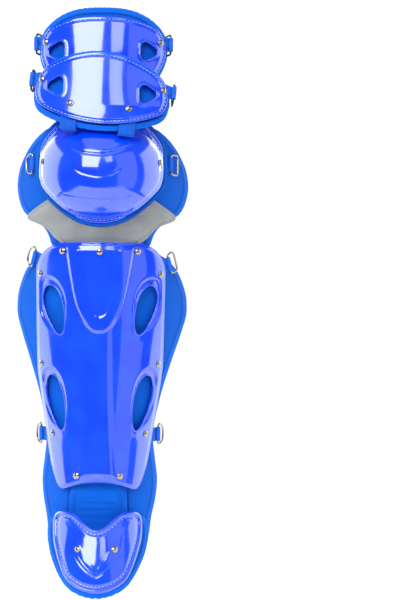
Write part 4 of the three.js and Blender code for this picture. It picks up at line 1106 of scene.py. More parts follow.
def build_shell(name, node, outline, spine, height, form=leg, windows=(), detail=None, pitch=1.7, stitched=True,
                flange=FLANGE, extra=None):
    """A moulded shell: height gives the distance out of its face, detail what is moulded into it."""
    pattern = Pattern(outline, spine, pitch=pitch, passes=5, band=7.5, inset=0.7, windows=windows)
    lip = window_lip(windows)

    def front(x, z, edge):
        step = FLANGE_STEP * (1 - smooth(flange, flange + 1.1, edge))
        seat = 0.3 * groove(edge - 1.9, 0.6) if stitched else 0
        moulded = detail(x, z, edge) if detail else 0
        return height(x, z) - step - seat + lip(x, z) + moulded

    def back(x, z, edge):
        return height(x, z) - SHELL_WALL + 0 * edge

    piece = Piece()
    add_panel(piece, pattern, form, front, back, shell_plastic, shell_plastic, bulge=1.0, rim_steps=3)
    for window in windows:
        loop = window.loop(grow=0.3)
        out = height(*loop.T) + 0.55
        if detail:
            out = out + detail(loop[:, 0], loop[:, 1], np.full(len(loop), 20.0))
        foot = form.foot(*loop.T, out)
        add_bead(piece, form.point(*foot, out), form.normal(*foot), LIP_RADIUS, shell_plastic)
    if stitched:
        line = inward(pattern.edge_line, 1.9)
        stitch_line(
            piece, form, line, lambda x, z: height(x, z) - FLANGE_STEP + 0.05, thread, 4.4, length=3.0, radius=0.46,
            slant=0.1,
        )
    if extra:
        extra(piece)
    piece.finish(name, [node])


print("shells are", SHELL_WALL, "mm thick, with a flange of", FLANGE, "mm")

# %% [markdown]
# ## The long shin shell
# The shell is crowned across, with a ridge up its middle that opens into a broad V at the knee. Around each window the
# plastic is dished. All of these are smooth steps added to the shell's height, so light runs along them in clean lines.

# %% Outline, windows and V of the shin shell
SHIN_WIDTH = 149
SHIN_ROWS = {
    "up": [0, 0.02, 0.05, 0.11, 0.26, 0.42, 0.5, 0.7, 0.89, 0.93, 0.975, 1],
    "half": [0.57, 0.635, 0.68, 0.745, 0.838, 0.93, 0.968, 0.985, 0.995, 0.96, 0.845, 0.66],
}
VEE_ROWS = {"up": [86, 88.5, 95, 104, 119, 150, 187], "half": [0, 8, 13.5, 18.5, 25, 31.5, 37.3]}
INNER_VEE_ROWS = {"up": [103, 105, 112, 125, 150, 187], "half": [0, 4.5, 9, 13, 17.8, 22.5]}
RIDGE_ROWS = {"up": [-93, -40, 20, 86], "half": [17, 13, 10, 9.2]}
SHIN_WINDOWS = [
    Leaf(side * x, SHIN_BASE + up * SHIN_LENGTH, length, width, lean)
    for side in (-1, 1)
    for x, up, length, width, lean in ((51, 0.73, 29, 11, 15), (48, 0.355, 32.5, 9.8, 12))
]
SHIN_DISHES = [
    Leaf(side * x, z, length, width, lean)
    for side in (-1, 1)
    for x, z, length, width, lean in ((54, 117, 35, 17.5, 15), (50.5, 11, 38, 14.5, 12))
]


print("shin windows:", len(SHIN_WINDOWS))


# %% [markdown]
# ## The shin shell's relief
# The crown falls off with the square of the distance from the middle. On it stand the ridge and the V, a second V is
# pressed into the first, and the windows are dished. All of that fades toward the flange, so the edge stays plain.

# %% Build the shin shell
def shin_height(x, z):
    half = SHIN_WIDTH / 2 * along(SHIN_ROWS, "half", (z - SHIN_BASE) / SHIN_LENGTH)
    share = np.minimum(1, np.abs(x) / half)
    return SHELL_BACK + SHELL_WALL + 9 * (1 - share * share)


def inside_rows(rows, x, z, blur):
    """One where x and z lie between a table's half widths, fading over the blur outside it."""
    half = along(rows, "half", z)
    above = smooth(rows["up"][0] - blur, rows["up"][0] + 1, z)
    return above * (1 - smooth(half, half + blur, np.abs(x)))


def shin_detail(x, z, edge):
    vee = inside_rows(VEE_ROWS, x, z, 2.6)
    inner = inside_rows(INNER_VEE_ROWS, x, z, 2.2)
    ridge = 1 - smooth(along(RIDGE_ROWS, "half", z) - 1, along(RIDGE_ROWS, "half", z) + 6, np.abs(x))
    raised = np.maximum(3.4 * vee, 2.3 * ridge * (1 - smooth(60, 96, z) * 0.2)) - 1.3 * inner
    dish = sum(2.4 * (1 - smooth(0.8, 1.0, lens.share(x, z))) for lens in SHIN_DISHES)
    return (raised - dish) * smooth(2, 9, edge)


shin_outline = Outline(SHIN_ROWS, SHIN_BASE, SHIN_LENGTH, SHIN_WIDTH, drop=-10)
build_shell("shell_shin", "shin_shell", shin_outline, ((0.5, 0.14), (0.5, 0.86)), shin_height, windows=SHIN_WINDOWS,
            detail=shin_detail, stitched=False, flange=1.6)

# %% [markdown]
# ## The knee's padded cloth
# Behind the cap lies a broad padded cloth, round above and drawn in where it meets the shin. It is a pad like the
# wings, so the same builder makes it from another table.

# %% Build the knee's cloth
KNEE_PAD_LENGTH, KNEE_PAD_WIDTH = 134, 201
KNEE_PAD_ROWS = {
    "up": [0, 0.1, 0.17, 0.23, 0.29, 0.41, 0.53, 0.65, 0.8, 0.92, 1],
    "half": [0.56, 0.6, 0.66, 0.79, 0.9, 0.975, 1, 0.98, 0.895, 0.78, 0.66],
}
knee_outline = Outline(KNEE_PAD_ROWS, KNEE_BASE, KNEE_PAD_LENGTH, KNEE_PAD_WIDTH, rise=15)
build_pad("pad_knee", "knee_pad", Pattern(knee_outline, ((0.5, 0.2), (0.5, 0.85)), pitch=2.0, inset=2.0), WALL_PAD)

# %% [markdown]
# ## The vinyl gusset
# A grey vinyl gusset is sewn over the knee cloth's lower half and lets the knee bend. Vinyl is smooth, with a soft
# shine and a faint grain. It swells a little between its seams and has a long shallow roll under the cap.

# %% Build the gusset
GUSSET_LENGTH, GUSSET_WIDTH = 92, 173
GUSSET_BASE = KNEE_SHELL_BASE + 24 - GUSSET_LENGTH
GUSSET_ROLL = 232
GUSSET_ROWS = {
    "up": [0, 0.2, 0.41, 0.47, 0.53, 0.61, 0.67, 0.71, 0.75, 0.83, 0.92, 1],
    "half": [0.42, 0.47, 0.5, 0.6, 0.65, 0.73, 0.86, 0.98, 1, 0.9, 0.76, 0.62],
}
gusset_vinyl, tree, surface = new_material("grey_gusset_vinyl", Roughness=0.4, Specular_IOR_Level=0.5)
worn = use_group(tree, handling, {"Scale": 30.0, "Low": 0.32, "High": 0.5})
shade = ramp_between(tree, worn["Patch"], 0.25, 0.75)
tree.links.new(mix_colours(tree, shade, srgb(138, 138, 137), srgb(160, 160, 158)), surface["Base Color"])
tree.links.new(worn["Roughness"], surface["Roughness"])
tree.links.new(bump(tree, worn["Height"], 0.0002, 0.5), surface["Normal"])

gusset_outline = Outline(GUSSET_ROWS, GUSSET_BASE, GUSSET_LENGTH, GUSSET_WIDTH)


def gusset_out(x, z, edge):
    """The vinyl swells between its seams, with a soft roll along the cap and a pull toward each side."""
    swell = 1.2 * smooth(1.5, 9, edge)
    roll = 0.7 * np.exp(-((np.abs(x) * 0.35 + z - GUSSET_ROLL) / 5) ** 2) * smooth(2, 10, edge)
    return 2.5 + swell - 0.8 * groove(edge - 3.2, 1.2) - roll


piece = Piece()
pattern = Pattern(gusset_outline, ((0.5, 0.25), (0.5, 0.75)), pitch=2.0, inset=0.5, band=6)
add_panel(piece, pattern, leg, gusset_out, lambda x, z, edge: LAYER_GAP + 0 * x, gusset_vinyl, gusset_vinyl, bulge=0.8,
          drawn=2.5)
piece.finish("gusset", ["knee_gusset"])

# %% [markdown]
# ## The knee cap
# The cap is a deep dome with shallow moulded creases. The dome could be a squashed sphere, but the real one is flatter
# across than up and steep at its rim, so its height is a power of what is left inside its edge. The creases are drawn
# as lines in the front view, and the height dips with the distance to them.

# %% Outline and creases of the cap
KNEE_SHELL_ROWS = {
    "up": [0, 0.06, 0.13, 0.24, 0.34, 0.47, 0.72, 0.85, 0.95, 1],
    "half": [0.4, 0.55, 0.68, 0.85, 0.965, 1, 0.985, 0.9, 0.77, 0.69],
}
TRIM_BACK, TRIM_FRONT = 3.4, 5.4
KNEE_LENGTH, KNEE_WIDTH, KNEE_DOME, TRIM_MARGIN = 105, 142, 34, 4
KNEE_CREASES = [
    # points across and up, depth, width
    ([(-35, 294.7), (-27, 290.4), (-18, 286.9), (1.4, 285), (23, 291.2), (40, 298.1)], 1.3, 1.3),
    ([(-32, 271.9), (-25, 267), (-18, 263.6), (-2, 260.5), (13.9, 263.5), (26, 271.9)], 0.9, 1.2),
    ([(-44, 241.7), (-22, 237.6), (0, 235.9), (22, 237.6), (40, 241.7)], 0.6, 0.9),
    ([(-44, 241.7), (-37, 230), (-28, 219.8)], 0.6, 0.9),
    ([(40, 241.7), (34, 230), (26, 219.8)], 0.6, 0.9),
]


def curve_through(points, pitch=0.5):
    """A smooth line through a few points, as a dense list."""
    points = np.array(points, float)
    run = np.concatenate([[0], np.cumsum(np.hypot(*np.diff(points, axis=0).T))])
    places = np.linspace(0, run[-1], max(3, int(run[-1] / pitch)))
    rows = {"run": run, "x": points[:, 0], "z": points[:, 1]}
    return np.stack([along(rows, "x", places, "run"), along(rows, "z", places, "run")], 1)


print("creases on the cap:", len(KNEE_CREASES))


# %% [markdown]
# ## The cap's relief
# The dome is highest in the middle and steep near its rim. Each crease takes a little away beside its line and runs
# out at both ends, so it only bends the reflections, as on the moulded plastic.

# %% Build the knee cap
def knee_height(x, z):
    across = np.abs(x) / (KNEE_WIDTH / 2)
    up = (z - KNEE_SHELL_BASE) / KNEE_LENGTH - 0.5
    dome = np.maximum(0, 1 - across * across * 0.97 - np.abs(up * 1.9) ** 2.3)
    return TRIM_FRONT + 0.3 + SHELL_WALL + KNEE_DOME * dome ** 0.72


def knee_detail(x, z, edge):
    total = 0 * x
    for points, depth, width in KNEE_CREASES:
        line = curve_through(points)
        distance = distance_to(np.asarray(x), np.asarray(z), line)
        start, end = line[0], line[-1]
        fade = smooth(0, 7, np.hypot(x - start[0], z - start[1])) * smooth(0, 7, np.hypot(x - end[0], z - end[1]))
        total = total - depth * groove(distance, width) * fade
    return total


def knee_cut(margin):
    return Outline(KNEE_SHELL_ROWS, KNEE_SHELL_BASE - margin, KNEE_LENGTH + 2 * margin, KNEE_WIDTH + 2 * margin,
                   rise=9, drop=7)


KNEE_SPINE = ((0.5, 0.3), (0.5, 0.7))
build_shell("cap_knee", "knee_shell", knee_cut(0), KNEE_SPINE, knee_height, detail=knee_detail, pitch=1.5)

# %% [markdown]
# ## The cap's trim
# The cap is sewn to a strip of cloth that shows all round it. Its edge is the cap's own outline, grown by the strip's
# width, so the two always run side by side.

# %% Build the trim


def trim_front(x, z, edge):
    return TRIM_FRONT + 0.5 * groove(edge - 1.8, 1.4)


def trim_back(x, z, edge):
    return TRIM_BACK + 0 * x


piece = Piece()
pattern = Pattern(knee_cut(TRIM_MARGIN), KNEE_SPINE, pitch=2.2, inset=0.5, band=6)
add_panel(piece, pattern, leg, trim_front, trim_back, plain_azure, plain_azure, bulge=1.0)
stitch_line(piece, leg, inward(pattern.edge_line, 2.0), lambda x, z: TRIM_FRONT + 0.45 + 0 * x, dark_thread, length=1.9,
            radius=0.32)
piece.finish("trim_knee", ["knee_trim"])

# %% [markdown]
# ## Thigh flaps
# Two windowed shells on padded cloth hang over each other above the knee. The second one rides on the first, so its
# layers start where the first one's end, and it leans out over the cap as its lower edge comes down.

# %% How far out the flaps' layers lie
FLAP_PAD = 10
FLAP_CROWN = 4
WEBBING = 1.4
TOP_LENGTH, TOP_WIDTH, SECOND_LENGTH, SECOND_WIDTH = 86, 149, 67, 157
SECOND_TILT, SECOND_RISE = 5, 12
TOP_FLAP_ROWS = {
    "up": [0, 0.07, 0.2, 0.33, 0.6, 0.8, 0.94, 1],
    "half": [0.45, 0.585, 0.78, 0.9, 1, 0.98, 0.9, 0.83],
}
SECOND_FLAP_ROWS = {
    "up": [0, 0.07, 0.2, 0.4, 0.64, 0.82, 0.95, 1],
    "half": [0.78, 0.89, 0.97, 1, 0.965, 0.87, 0.73, 0.64],
}


def flap_crown(x, z, base, length, width):
    across = np.minimum(1, np.abs(x) / (width / 2))
    up = np.minimum(1, np.abs((z - base) / length - 0.5) * 1.6)
    return FLAP_CROWN * (1 - across * across) * (1 - up * up)


def top_height(x, z):
    return SHELL_BACK + SHELL_WALL + flap_crown(x, z, TOP_FLAP_BASE, TOP_LENGTH, TOP_WIDTH)


def second_back(x, z):
    below = np.maximum(0, SECOND_FLAP_BASE + SECOND_LENGTH - z) / SECOND_LENGTH
    return top_height(x, z) + WEBBING + 2 * LAYER_GAP + 0.225 * SECOND_LENGTH * below * below


def second_front(x, z):
    return second_back(x, z) + FLAP_PAD


def second_height(x, z):
    crown = flap_crown(x, z, SECOND_FLAP_BASE, SECOND_LENGTH, SECOND_WIDTH)
    return second_front(x, z) + SHELL_BACK + SHELL_WALL + crown


print("the second flap stands", round(float(second_front(0.0, SECOND_FLAP_BASE + 30.0)), 1), "mm off the form")

# %% [markdown]
# ## The flaps' padded cloths
# Each flap has a pad of its own, a little larger than its shell. The top one is nearly straight along its top, and the
# second one is tilted. Their patterns close on a level spine, because the flaps are wider than they are tall.

# %% Build the flaps' pads
top_outline = Outline(TOP_FLAP_ROWS, TOP_FLAP_BASE, TOP_LENGTH, TOP_WIDTH, rise=17, drop=7, square=3)
second_outline = Outline(SECOND_FLAP_ROWS, SECOND_FLAP_BASE, SECOND_LENGTH, SECOND_WIDTH, rise=SECOND_RISE,
                         drop=SECOND_RISE, tilt=SECOND_TILT)
FLAP_SPINE = ((0.28, 0.5), (0.72, 0.5))
build_pad("pad_top_flap", "top_flap_pad", Pattern(top_outline, FLAP_SPINE, pitch=2.0, inset=2.0), FLAP_PAD,
          stitch_at=4.6)
build_pad("pad_second_flap", "second_flap_pad", Pattern(second_outline, FLAP_SPINE, pitch=2.0, inset=2.0), FLAP_PAD,
          stitch_at=4.2, lift=second_front)

# %% [markdown]
# ## The flaps' shells
# Both shells are plain curved plates with a petal window near each end, sewn all round. The second one's windows are
# placed on its tilted outline, so they turn with it.

# %% Build the flaps' shells
WINDOW_PLACE, WINDOW_RADIUS = 51, 10.5
top_windows = [Petal(side * WINDOW_PLACE, TOP_FLAP_BASE + 0.62 * TOP_LENGTH, WINDOW_RADIUS) for side in (-1, 1)]
window_height = SECOND_FLAP_BASE + 0.52 * SECOND_LENGTH
second_windows = [
    Petal(*second_outline.tilted(side * WINDOW_PLACE, window_height), WINDOW_RADIUS) for side in (-1, 1)
]
top_cut = Outline(TOP_FLAP_ROWS, TOP_FLAP_BASE + 6, 75, 143, rise=11, drop=7, square=2.6)
second_cut = Outline(SECOND_FLAP_ROWS, SECOND_FLAP_BASE + 8, 57, 151, rise=SECOND_RISE, drop=SECOND_RISE,
                     tilt=SECOND_TILT)
build_shell("shell_top_flap", "top_flap_shell", top_cut, FLAP_SPINE, top_height, windows=top_windows, pitch=1.6)
build_shell("shell_second_flap", "second_flap_shell", second_cut, FLAP_SPINE, second_height, windows=second_windows,
            pitch=1.6)

# %% [markdown]
# ## The foot guard's cloth
# The foot guard has a padded cloth with a notch above, where the tongue comes in. It is bent over the instep, which
# runs forward much faster than the shin does, so it has a form of its own.

# %% Build the foot guard's cloth
FOOT_LENGTH, FOOT_WIDTH, FOOT_NOTCH = 83, 119, 19
FOOT_PAD_ROWS = {
    "up": [0, 0.12, 0.28, 0.45, 0.63, 0.77, 0.89, 1],
    "half": [0.55, 0.7, 0.83, 0.933, 0.987, 1, 0.965, 0.82],
}
foot_outline = Outline(FOOT_PAD_ROWS, FOOT_BASE, FOOT_LENGTH, FOOT_WIDTH, drop=8, notch=FOOT_NOTCH)
build_pad("pad_foot", "foot_pad", Pattern(foot_outline, ((0.5, 0.22), (0.5, 0.58)), pitch=2.0, inset=2.0), FLAP_PAD,
          form=instep, stitch_at=4.8)

# %% [markdown]
# ## The foot guard's shell
# The shell is heart-shaped. Its lip is rolled up round the edge, the stitches sit in the channel behind the lip, and
# two nested V lines are pressed in.

# %% Build the foot guard's shell
FOOT_SHELL_LENGTH, FOOT_SHELL_WIDTH = 81, 103
FOOT_SHELL_ROWS = {
    "up": [0, 0.09, 0.27, 0.48, 0.66, 0.84, 0.95, 1],
    "half": [0.5, 0.675, 0.817, 0.923, 0.987, 1, 0.95, 0.86],
}
FOOT_CREASES = [
    ([(-29, -141), (-26.5, -157.5), (-19, -170.4), (-9.5, -180.5), (0, -186.3), (9.5, -180.5), (19, -170.4),
      (26.5, -157.5), (29, -141)], 0.6, 0.8),
    ([(-21, -160), (-13, -172), (0, -181), (13, -172), (21, -160)], 0.35, 0.8),
]


def foot_height(x, z):
    up = (z - FOOT_BASE) / FOOT_LENGTH
    across = np.minimum(1, np.abs(x) / (FOOT_SHELL_WIDTH / 2))
    return LAYER_GAP + SHELL_WALL + 6 * (1 - across * across) * smooth(-0.1, 0.4, up)


def foot_detail(x, z, edge):
    total = 1.3 * groove(edge - 1.6, 1.5) - 1.2 * groove(edge - 5.4, 1.5)
    for points, depth, width in FOOT_CREASES:
        line = curve_through(points)
        total = total - depth * groove(distance_to(np.asarray(x), np.asarray(z), line), width)
    inner = np.abs(x) / 24 + (-z - 150) / 36
    return total - 0.35 * (1 - smooth(0.76, 0.94, inner)) * smooth(6, 12, edge)


foot_cut = Outline(FOOT_SHELL_ROWS, FOOT_BASE + 4.5, FOOT_SHELL_LENGTH, FOOT_SHELL_WIDTH, drop=7, notch=FOOT_NOTCH)
FOOT_SPINE = ((0.5, 0.22), (0.5, 0.56))
FOOT_CHANNEL = 5.4


def foot_stitches(piece):
    edge_line = Pattern(foot_cut, FOOT_SPINE, pitch=1.8, passes=5, band=1, inset=0.7).edge_line
    line = inward(edge_line, FOOT_CHANNEL)
    stitch_line(piece, instep, line, lambda x, z: foot_height(x, z) - 1.1, thread, 4.4, length=3.0, radius=0.46)


build_shell("shell_foot", "foot_shell", foot_cut, FOOT_SPINE, foot_height, form=instep, detail=foot_detail, pitch=1.5,
            stitched=False, flange=-2, extra=foot_stitches)

# %% [markdown]
# ## The tongue
# A soft tongue joins the foot guard to the shin. It is sewn down both sides and wrinkles across its middle, where the
# ankle bends. A few slanted grooves that fade toward the seams give the wrinkles, which a simulation would put
# wherever it pleased.

# %% Build the tongue
TONGUE_TUCK, TONGUE_LENGTH, TONGUE_WIDTH = 16, 72, 66
TONGUE_ROWS = {"up": [0, 0.2, 0.6, 1], "half": [0.86, 1, 1, 0.84]}
TONGUE_SEAM = 25
TONGUE_CREASES = [(-101, 0.9, 0.05), (-108, 1.1, -0.05), (-115, 0.8, 0.04), (-124, 0.5, -0.04)]


def tongue_out(x, z, edge):
    full = 6 - 3 * smooth(SHIN_BASE - 8, SHIN_BASE + 10, z)
    roll = quarter_round(edge, 4)
    seams = 0.9 * groove(np.abs(x) - TONGUE_SEAM, 0.9)
    folds = sum(depth * groove(z - at - slope * x, 1.8) * (1 - smooth(12, 24, np.abs(x)))
                for at, depth, slope in TONGUE_CREASES)
    swell = 0.8 * (1 - smooth(18, TONGUE_SEAM, np.abs(x)))
    return full - 2.2 * roll - (seams + folds - swell) * smooth(1, 5, edge) * smooth(SHIN_BASE + 2, SHIN_BASE - 8, z)


piece = Piece()
tongue_outline = Outline(TONGUE_ROWS, SHIN_BASE + TONGUE_TUCK - TONGUE_LENGTH, TONGUE_LENGTH, TONGUE_WIDTH)
pattern = Pattern(tongue_outline, ((0.5, 0.42), (0.5, 0.58)), pitch=1.3, inset=1.0)
add_panel(piece, pattern, leg, tongue_out, lambda x, z, edge: -0.3 + 0 * x, plain_azure, tongue_liner, bulge=2,
          drawn=3.0)
for side in (-1, 1):
    line = np.stack([np.full(40, side * (TONGUE_SEAM + 2.2)), np.linspace(-141, -98, 40)], 1)
    stitch_line(piece, leg, line, lambda x, z: 5.9 + 0 * x, dark_thread, closed=False, length=1.8, radius=0.3)
piece.finish("tongue", ["ankle_tongue"])

# %% [markdown]
# ## Cushions that are really inflated
# The knee cushion and the shin pad are sewn from stretch cloth over foam, so their lobes bulge between the seams. Cloth
# under pressure does this better than any formula. The seams and the binding are held, the rest is blown up for a
# few frames, and no point may move further than a cap.

# %% Inflate a cushion
PILLOW_CAP = 5.0
PRESSURE = 4.0
FRAMES = 20
STIFFNESS, BENDING = 12, 0.4


def inflate(thing):
    """Blows up a piece by cloth under pressure, with the held points fixed, and keeps the result."""
    held = np.empty(len(thing.data.vertices), np.float32)
    thing.data.attributes["held"].data.foreach_get("value", held)
    rest = np.empty(len(thing.data.vertices) * 3)
    thing.data.vertices.foreach_get("co", rest)
    rest = rest.reshape(-1, 3)
    group = thing.vertex_groups.new(name="held")
    for level in np.unique(np.round(held, 1)):
        if level > 0:
            group.add(np.nonzero(np.round(held, 1) == level)[0].tolist(), float(level), "REPLACE")
    cloth = thing.modifiers.new("blow", "CLOTH")
    cloth.settings.use_pressure = True
    cloth.settings.uniform_pressure_force = PRESSURE
    cloth.settings.vertex_group_mass = "held"
    cloth.settings.effector_weights.gravity = 0
    cloth.settings.tension_stiffness = STIFFNESS
    cloth.settings.compression_stiffness = STIFFNESS
    cloth.settings.bending_stiffness = BENDING
    cloth.collision_settings.use_collision = False
    cloth.point_cache.frame_end = FRAMES
    for number in range(1, FRAMES + 1):
        scene.frame_set(number)
    blown = thing.evaluated_get(bpy.context.evaluated_depsgraph_get()).data
    moved = np.empty_like(rest).ravel()
    blown.vertices.foreach_get("co", moved)
    shift = moved.reshape(-1, 3) - rest
    length = np.maximum(1e-12, np.linalg.norm(shift, axis=1))
    shift *= np.minimum(1, PILLOW_CAP * MM / length)[:, None]
    thing.modifiers.remove(cloth)
    thing.data.vertices.foreach_set("co", (rest + shift).ravel())
    thing.data.update()
    scene.frame_set(1)
    print(thing.name, "swelled by mm:", round(float(np.linalg.norm(shift, axis=1).max() / MM), 2))


print("cushions blow up for", FRAMES, "frames, by", PILLOW_CAP, "mm at most")

# %% [markdown]
# ## The cushions' cloths
# The knee cushion is dark satin with a blue cast, and the shin pad open black mesh. Each has a black binding, and the
# cloth darkens toward its seams, where two lobes shade each other. The distance to the nearest seam is carried by the
# mesh, so the shade stays with the seam when the cushion swells.

# %% Dark cloths
CUSHION_BINDING = srgb(14, 14, 16)
# Painted shade that darkens the cushion cloth toward its seams.
LOBE_SHADE_BLACK = srgb(4, 5, 6)


def cushion_cloth(name, light, dark, threads, binding_width, depth, low, high, sheen):
    material, tree, surface = new_material(name, Specular_IOR_Level=0.4, Sheen_Weight=sheen, Sheen_Roughness=0.4)
    vector, edge = cloth_inputs(tree)
    threads_out = use_group(tree, weave, {"Vector": vector, "Threads": threads})
    worn = use_group(tree, handling, {"Scale": 30.0, "Low": low, "High": high})
    mask = use_group(tree, band, {"Distance": edge, "Width": binding_width, "Softness": 0.4})["Mask"]
    seam = add_node(tree, "ShaderNodeAttribute", attribute_name="seam").outputs["Fac"]
    # Painted shade darkens the cushion cloth between its threads.
    cloth_colour = mix_colours(tree, threads_out["Shade"], dark, light)
    # Painted shade: the cloth darkens toward each seam, where the lobes shade each other.
    colour = mix_colours(tree, ramp_between(tree, seam, 0.4, 3.6, 0.9, 0.0), cloth_colour, LOBE_SHADE_BLACK)
    tree.links.new(mix_colours(tree, mask, colour, CUSHION_BINDING), surface["Base Color"])
    tree.links.new(maths(tree, "MAXIMUM", worn["Roughness"], maths(tree, "MULTIPLY", mask, 0.8)), surface["Roughness"])
    tree.links.new(bump(tree, threads_out["Height"], depth, 0.8), surface["Normal"])
    return material


satin = cushion_cloth("dark_satin", srgb(38, 56, 66), srgb(20, 31, 38), 110.0, 6.0, 0.0001, 0.34, 0.5, 0.2)
mesh_cloth = cushion_cloth("black_mesh_cloth", srgb(32, 35, 38), srgb(5, 5, 6), 46.0, 6.0, 0.0004, 0.6, 0.8, 0.1)
print("cushion cloths:", satin.name, mesh_cloth.name)

# %% [markdown]
# ## How a cushion is sewn
# A cushion lies flat against the guard, and its lobes rise toward the leg between its seams. The mesh starts with the
# lobes a formula gives, and the seams and binding are held while the pressure rounds the rest. One subdivision then
# takes the facets out.

# %% Cushion builder
CUSHION_FRONT = -WALL_PAD - 1.3 * LAYER_GAP
CUSHION_THICKNESS = 16.4
CUSHION_BACK = CUSHION_FRONT - CUSHION_THICKNESS
CUSHION_EDGE = CUSHION_FRONT - 0.45 * CUSHION_THICKNESS


def pillow(distance, width, height):
    """A rounded rise away from a seam."""
    return height * np.sqrt(1 - (1 - np.clip(distance / width, 0, 1)) ** 2)


def build_cushion(name, node, outline, seams, base_depth, cloth, width, height, binding, windows=()):
    """A cushion on the leg side: a flat face against the guard and lobes between the seams on its back."""
    pattern = Pattern(outline, ((0.5, 0.2), (0.5, 0.8)), pitch=2.6, inset=1.6, band=9, windows=windows)
    seam_distance = np.full(pattern.x.shape, 99.0)
    for line in seams:
        seam_distance = np.minimum(seam_distance, distance_to(pattern.x, pattern.z, curve_through(line, 0.6)))
    inside = np.minimum(seam_distance, np.maximum(0, pattern.edge - binding - 2.5))
    for window in windows:
        inside = np.minimum(inside, np.maximum(0, (window.share(pattern.x, pattern.z) - 1) * window.size))

    def back(x, z, edge):
        roll = quarter_round(edge, 7)
        bound = base_depth(x, z) + 2.6
        return bound + 3.4 * roll - pillow(inside, width, height) + 0.9 * groove(edge - binding - 1.2, 1.0)

    def front(x, z, edge):
        return CUSHION_FRONT - 1.2 * (1 - np.clip(edge / 4, 0, 1)) ** 2

    piece = Piece()
    add_panel(piece, pattern, leg, front, back, cloth, cloth, drawn=CUSHION_FRONT, bulge=2.5)
    size = pattern.x.size
    held, from_seam = np.ones(piece.count), np.full(piece.count, 9.0)
    held[size:2 * size] = 1 - smooth(1.0, 4.0, inside.ravel())
    from_seam[size:2 * size] = inside.ravel()
    piece.values = {"held": held, "seam": from_seam}
    thing = piece.finish(name, [node])
    inflate(thing)
    smoothed = thing.modifiers.new("smooth", "SUBSURF")
    smoothed.levels = smoothed.render_levels = 1


print("cushions lie from", round(CUSHION_FRONT, 1), "to", round(CUSHION_BACK, 1), "mm behind the form")

# %% [markdown]
# ## The gel's opening
# The knee cushion has an opening like a broad shield, with the gel set into it. Its outline is a table like any other,
# so its share is found by measuring the outline's reach in every direction from its middle.

# %% Opening for the gel
CUSHION_BASE = SHIN_TOP - 76
CUSHION_LENGTH, CUSHION_WIDTH = 170, 137
GEL_ROWS = {"up": [0, 0.27, 0.5, 0.57, 0.66, 1], "half": [0.36, 0.68, 0.96, 1, 0.995, 0.9]}
GEL_BASE, GEL_LENGTH, GEL_WIDTH = CUSHION_BASE + 0.63 * CUSHION_LENGTH, 39, 72.6


class GelHole:
    """The gel's opening in the cushion, as a share of the way to its outline from its middle."""

    def __init__(self, margin):
        outline = Outline(GEL_ROWS, GEL_BASE - margin, GEL_LENGTH + 2 * margin, GEL_WIDTH + 2 * margin, rise=2, drop=8)
        self.ring = Pattern(outline, ((0.4, 0.6), (0.6, 0.6)), pitch=1.2, band=1).edge_line
        self.x, self.z, self.size = 0.0, float(self.ring[:, 1].mean()), GEL_WIDTH / 3
        angle = np.arctan2(self.ring[:, 1] - self.z, self.ring[:, 0])
        order = np.argsort(angle)
        self.angle = angle[order]
        self.reach = np.hypot(self.ring[:, 0], self.ring[:, 1] - self.z)[order]

    def share(self, x, z):
        around = np.arctan2(z - self.z, x - self.x)
        return np.hypot(x - self.x, z - self.z) / np.interp(around, self.angle, self.reach, period=2 * math.pi)


gel_hole = GelHole(0.8)
print("the gel's opening reaches", round(float(gel_hole.reach.max()), 1), "mm from its middle")

# %% [markdown]
# ## The knee cushion
# Two tubes run down the sides and cross into two long lobes that meet on a centre seam. A padded bar lies across the
# top, and two leaf-shaped lobes cradle the gel. Each seam is a line through a few points. The cushion is the same on
# both sides, so most seams are drawn once and mirrored.

# %% Build the knee cushion
KNEE_CUSHION_ROWS = {
    "up": [0, 0.06, 0.15, 0.24, 0.3, 0.36, 0.5, 0.66, 0.81, 0.9, 0.96, 1],
    "half": [0.23, 0.385, 0.46, 0.5, 0.55, 0.65, 0.85, 0.958, 1, 0.955, 0.84, 0.67],
}
TUBE_SEAM = [(42, 283), (41.3, 263.5), (42.7, 241.7), (38.4, 222.8), (31.1, 203.9), (22.4, 190.8), (10.8, 184),
             (0, 180)]
BAR_SEAM = [(42, 262), (36, 260.5), (20, 263), (0, 263.5), (-20, 263), (-36, 260.5), (-42, 262)]
LOBE_SEAM = [(0, 180), (0.2, 160), (0, 118)]
CRADLE_SEAM = [(0, 207), (2.6, 200), (3, 190), (1.5, 181)]
CROSS_SEAM = [(42, 196), (34, 187), (26, 190)]
knee_seams = [LOBE_SEAM, BAR_SEAM]
for line in (TUBE_SEAM, CRADLE_SEAM, CROSS_SEAM):
    knee_seams += [line, [(-x, z) for x, z in line]]
knee_depths = {"up": [0, 27, 69], "depth": [CUSHION_BACK + 4.5, CUSHION_BACK + 5, CUSHION_EDGE + 1.5]}
cushion_outline = Outline(KNEE_CUSHION_ROWS, CUSHION_BASE, CUSHION_LENGTH, CUSHION_WIDTH, rise=6, drop=6)


def knee_cushion_depth(x, z):
    return along(knee_depths, "depth", np.abs(x))


build_cushion("cushion_knee", "knee_cushion", cushion_outline, knee_seams, knee_cushion_depth, satin, width=10.0,
              height=6.4, binding=6.0, windows=[gel_hole])
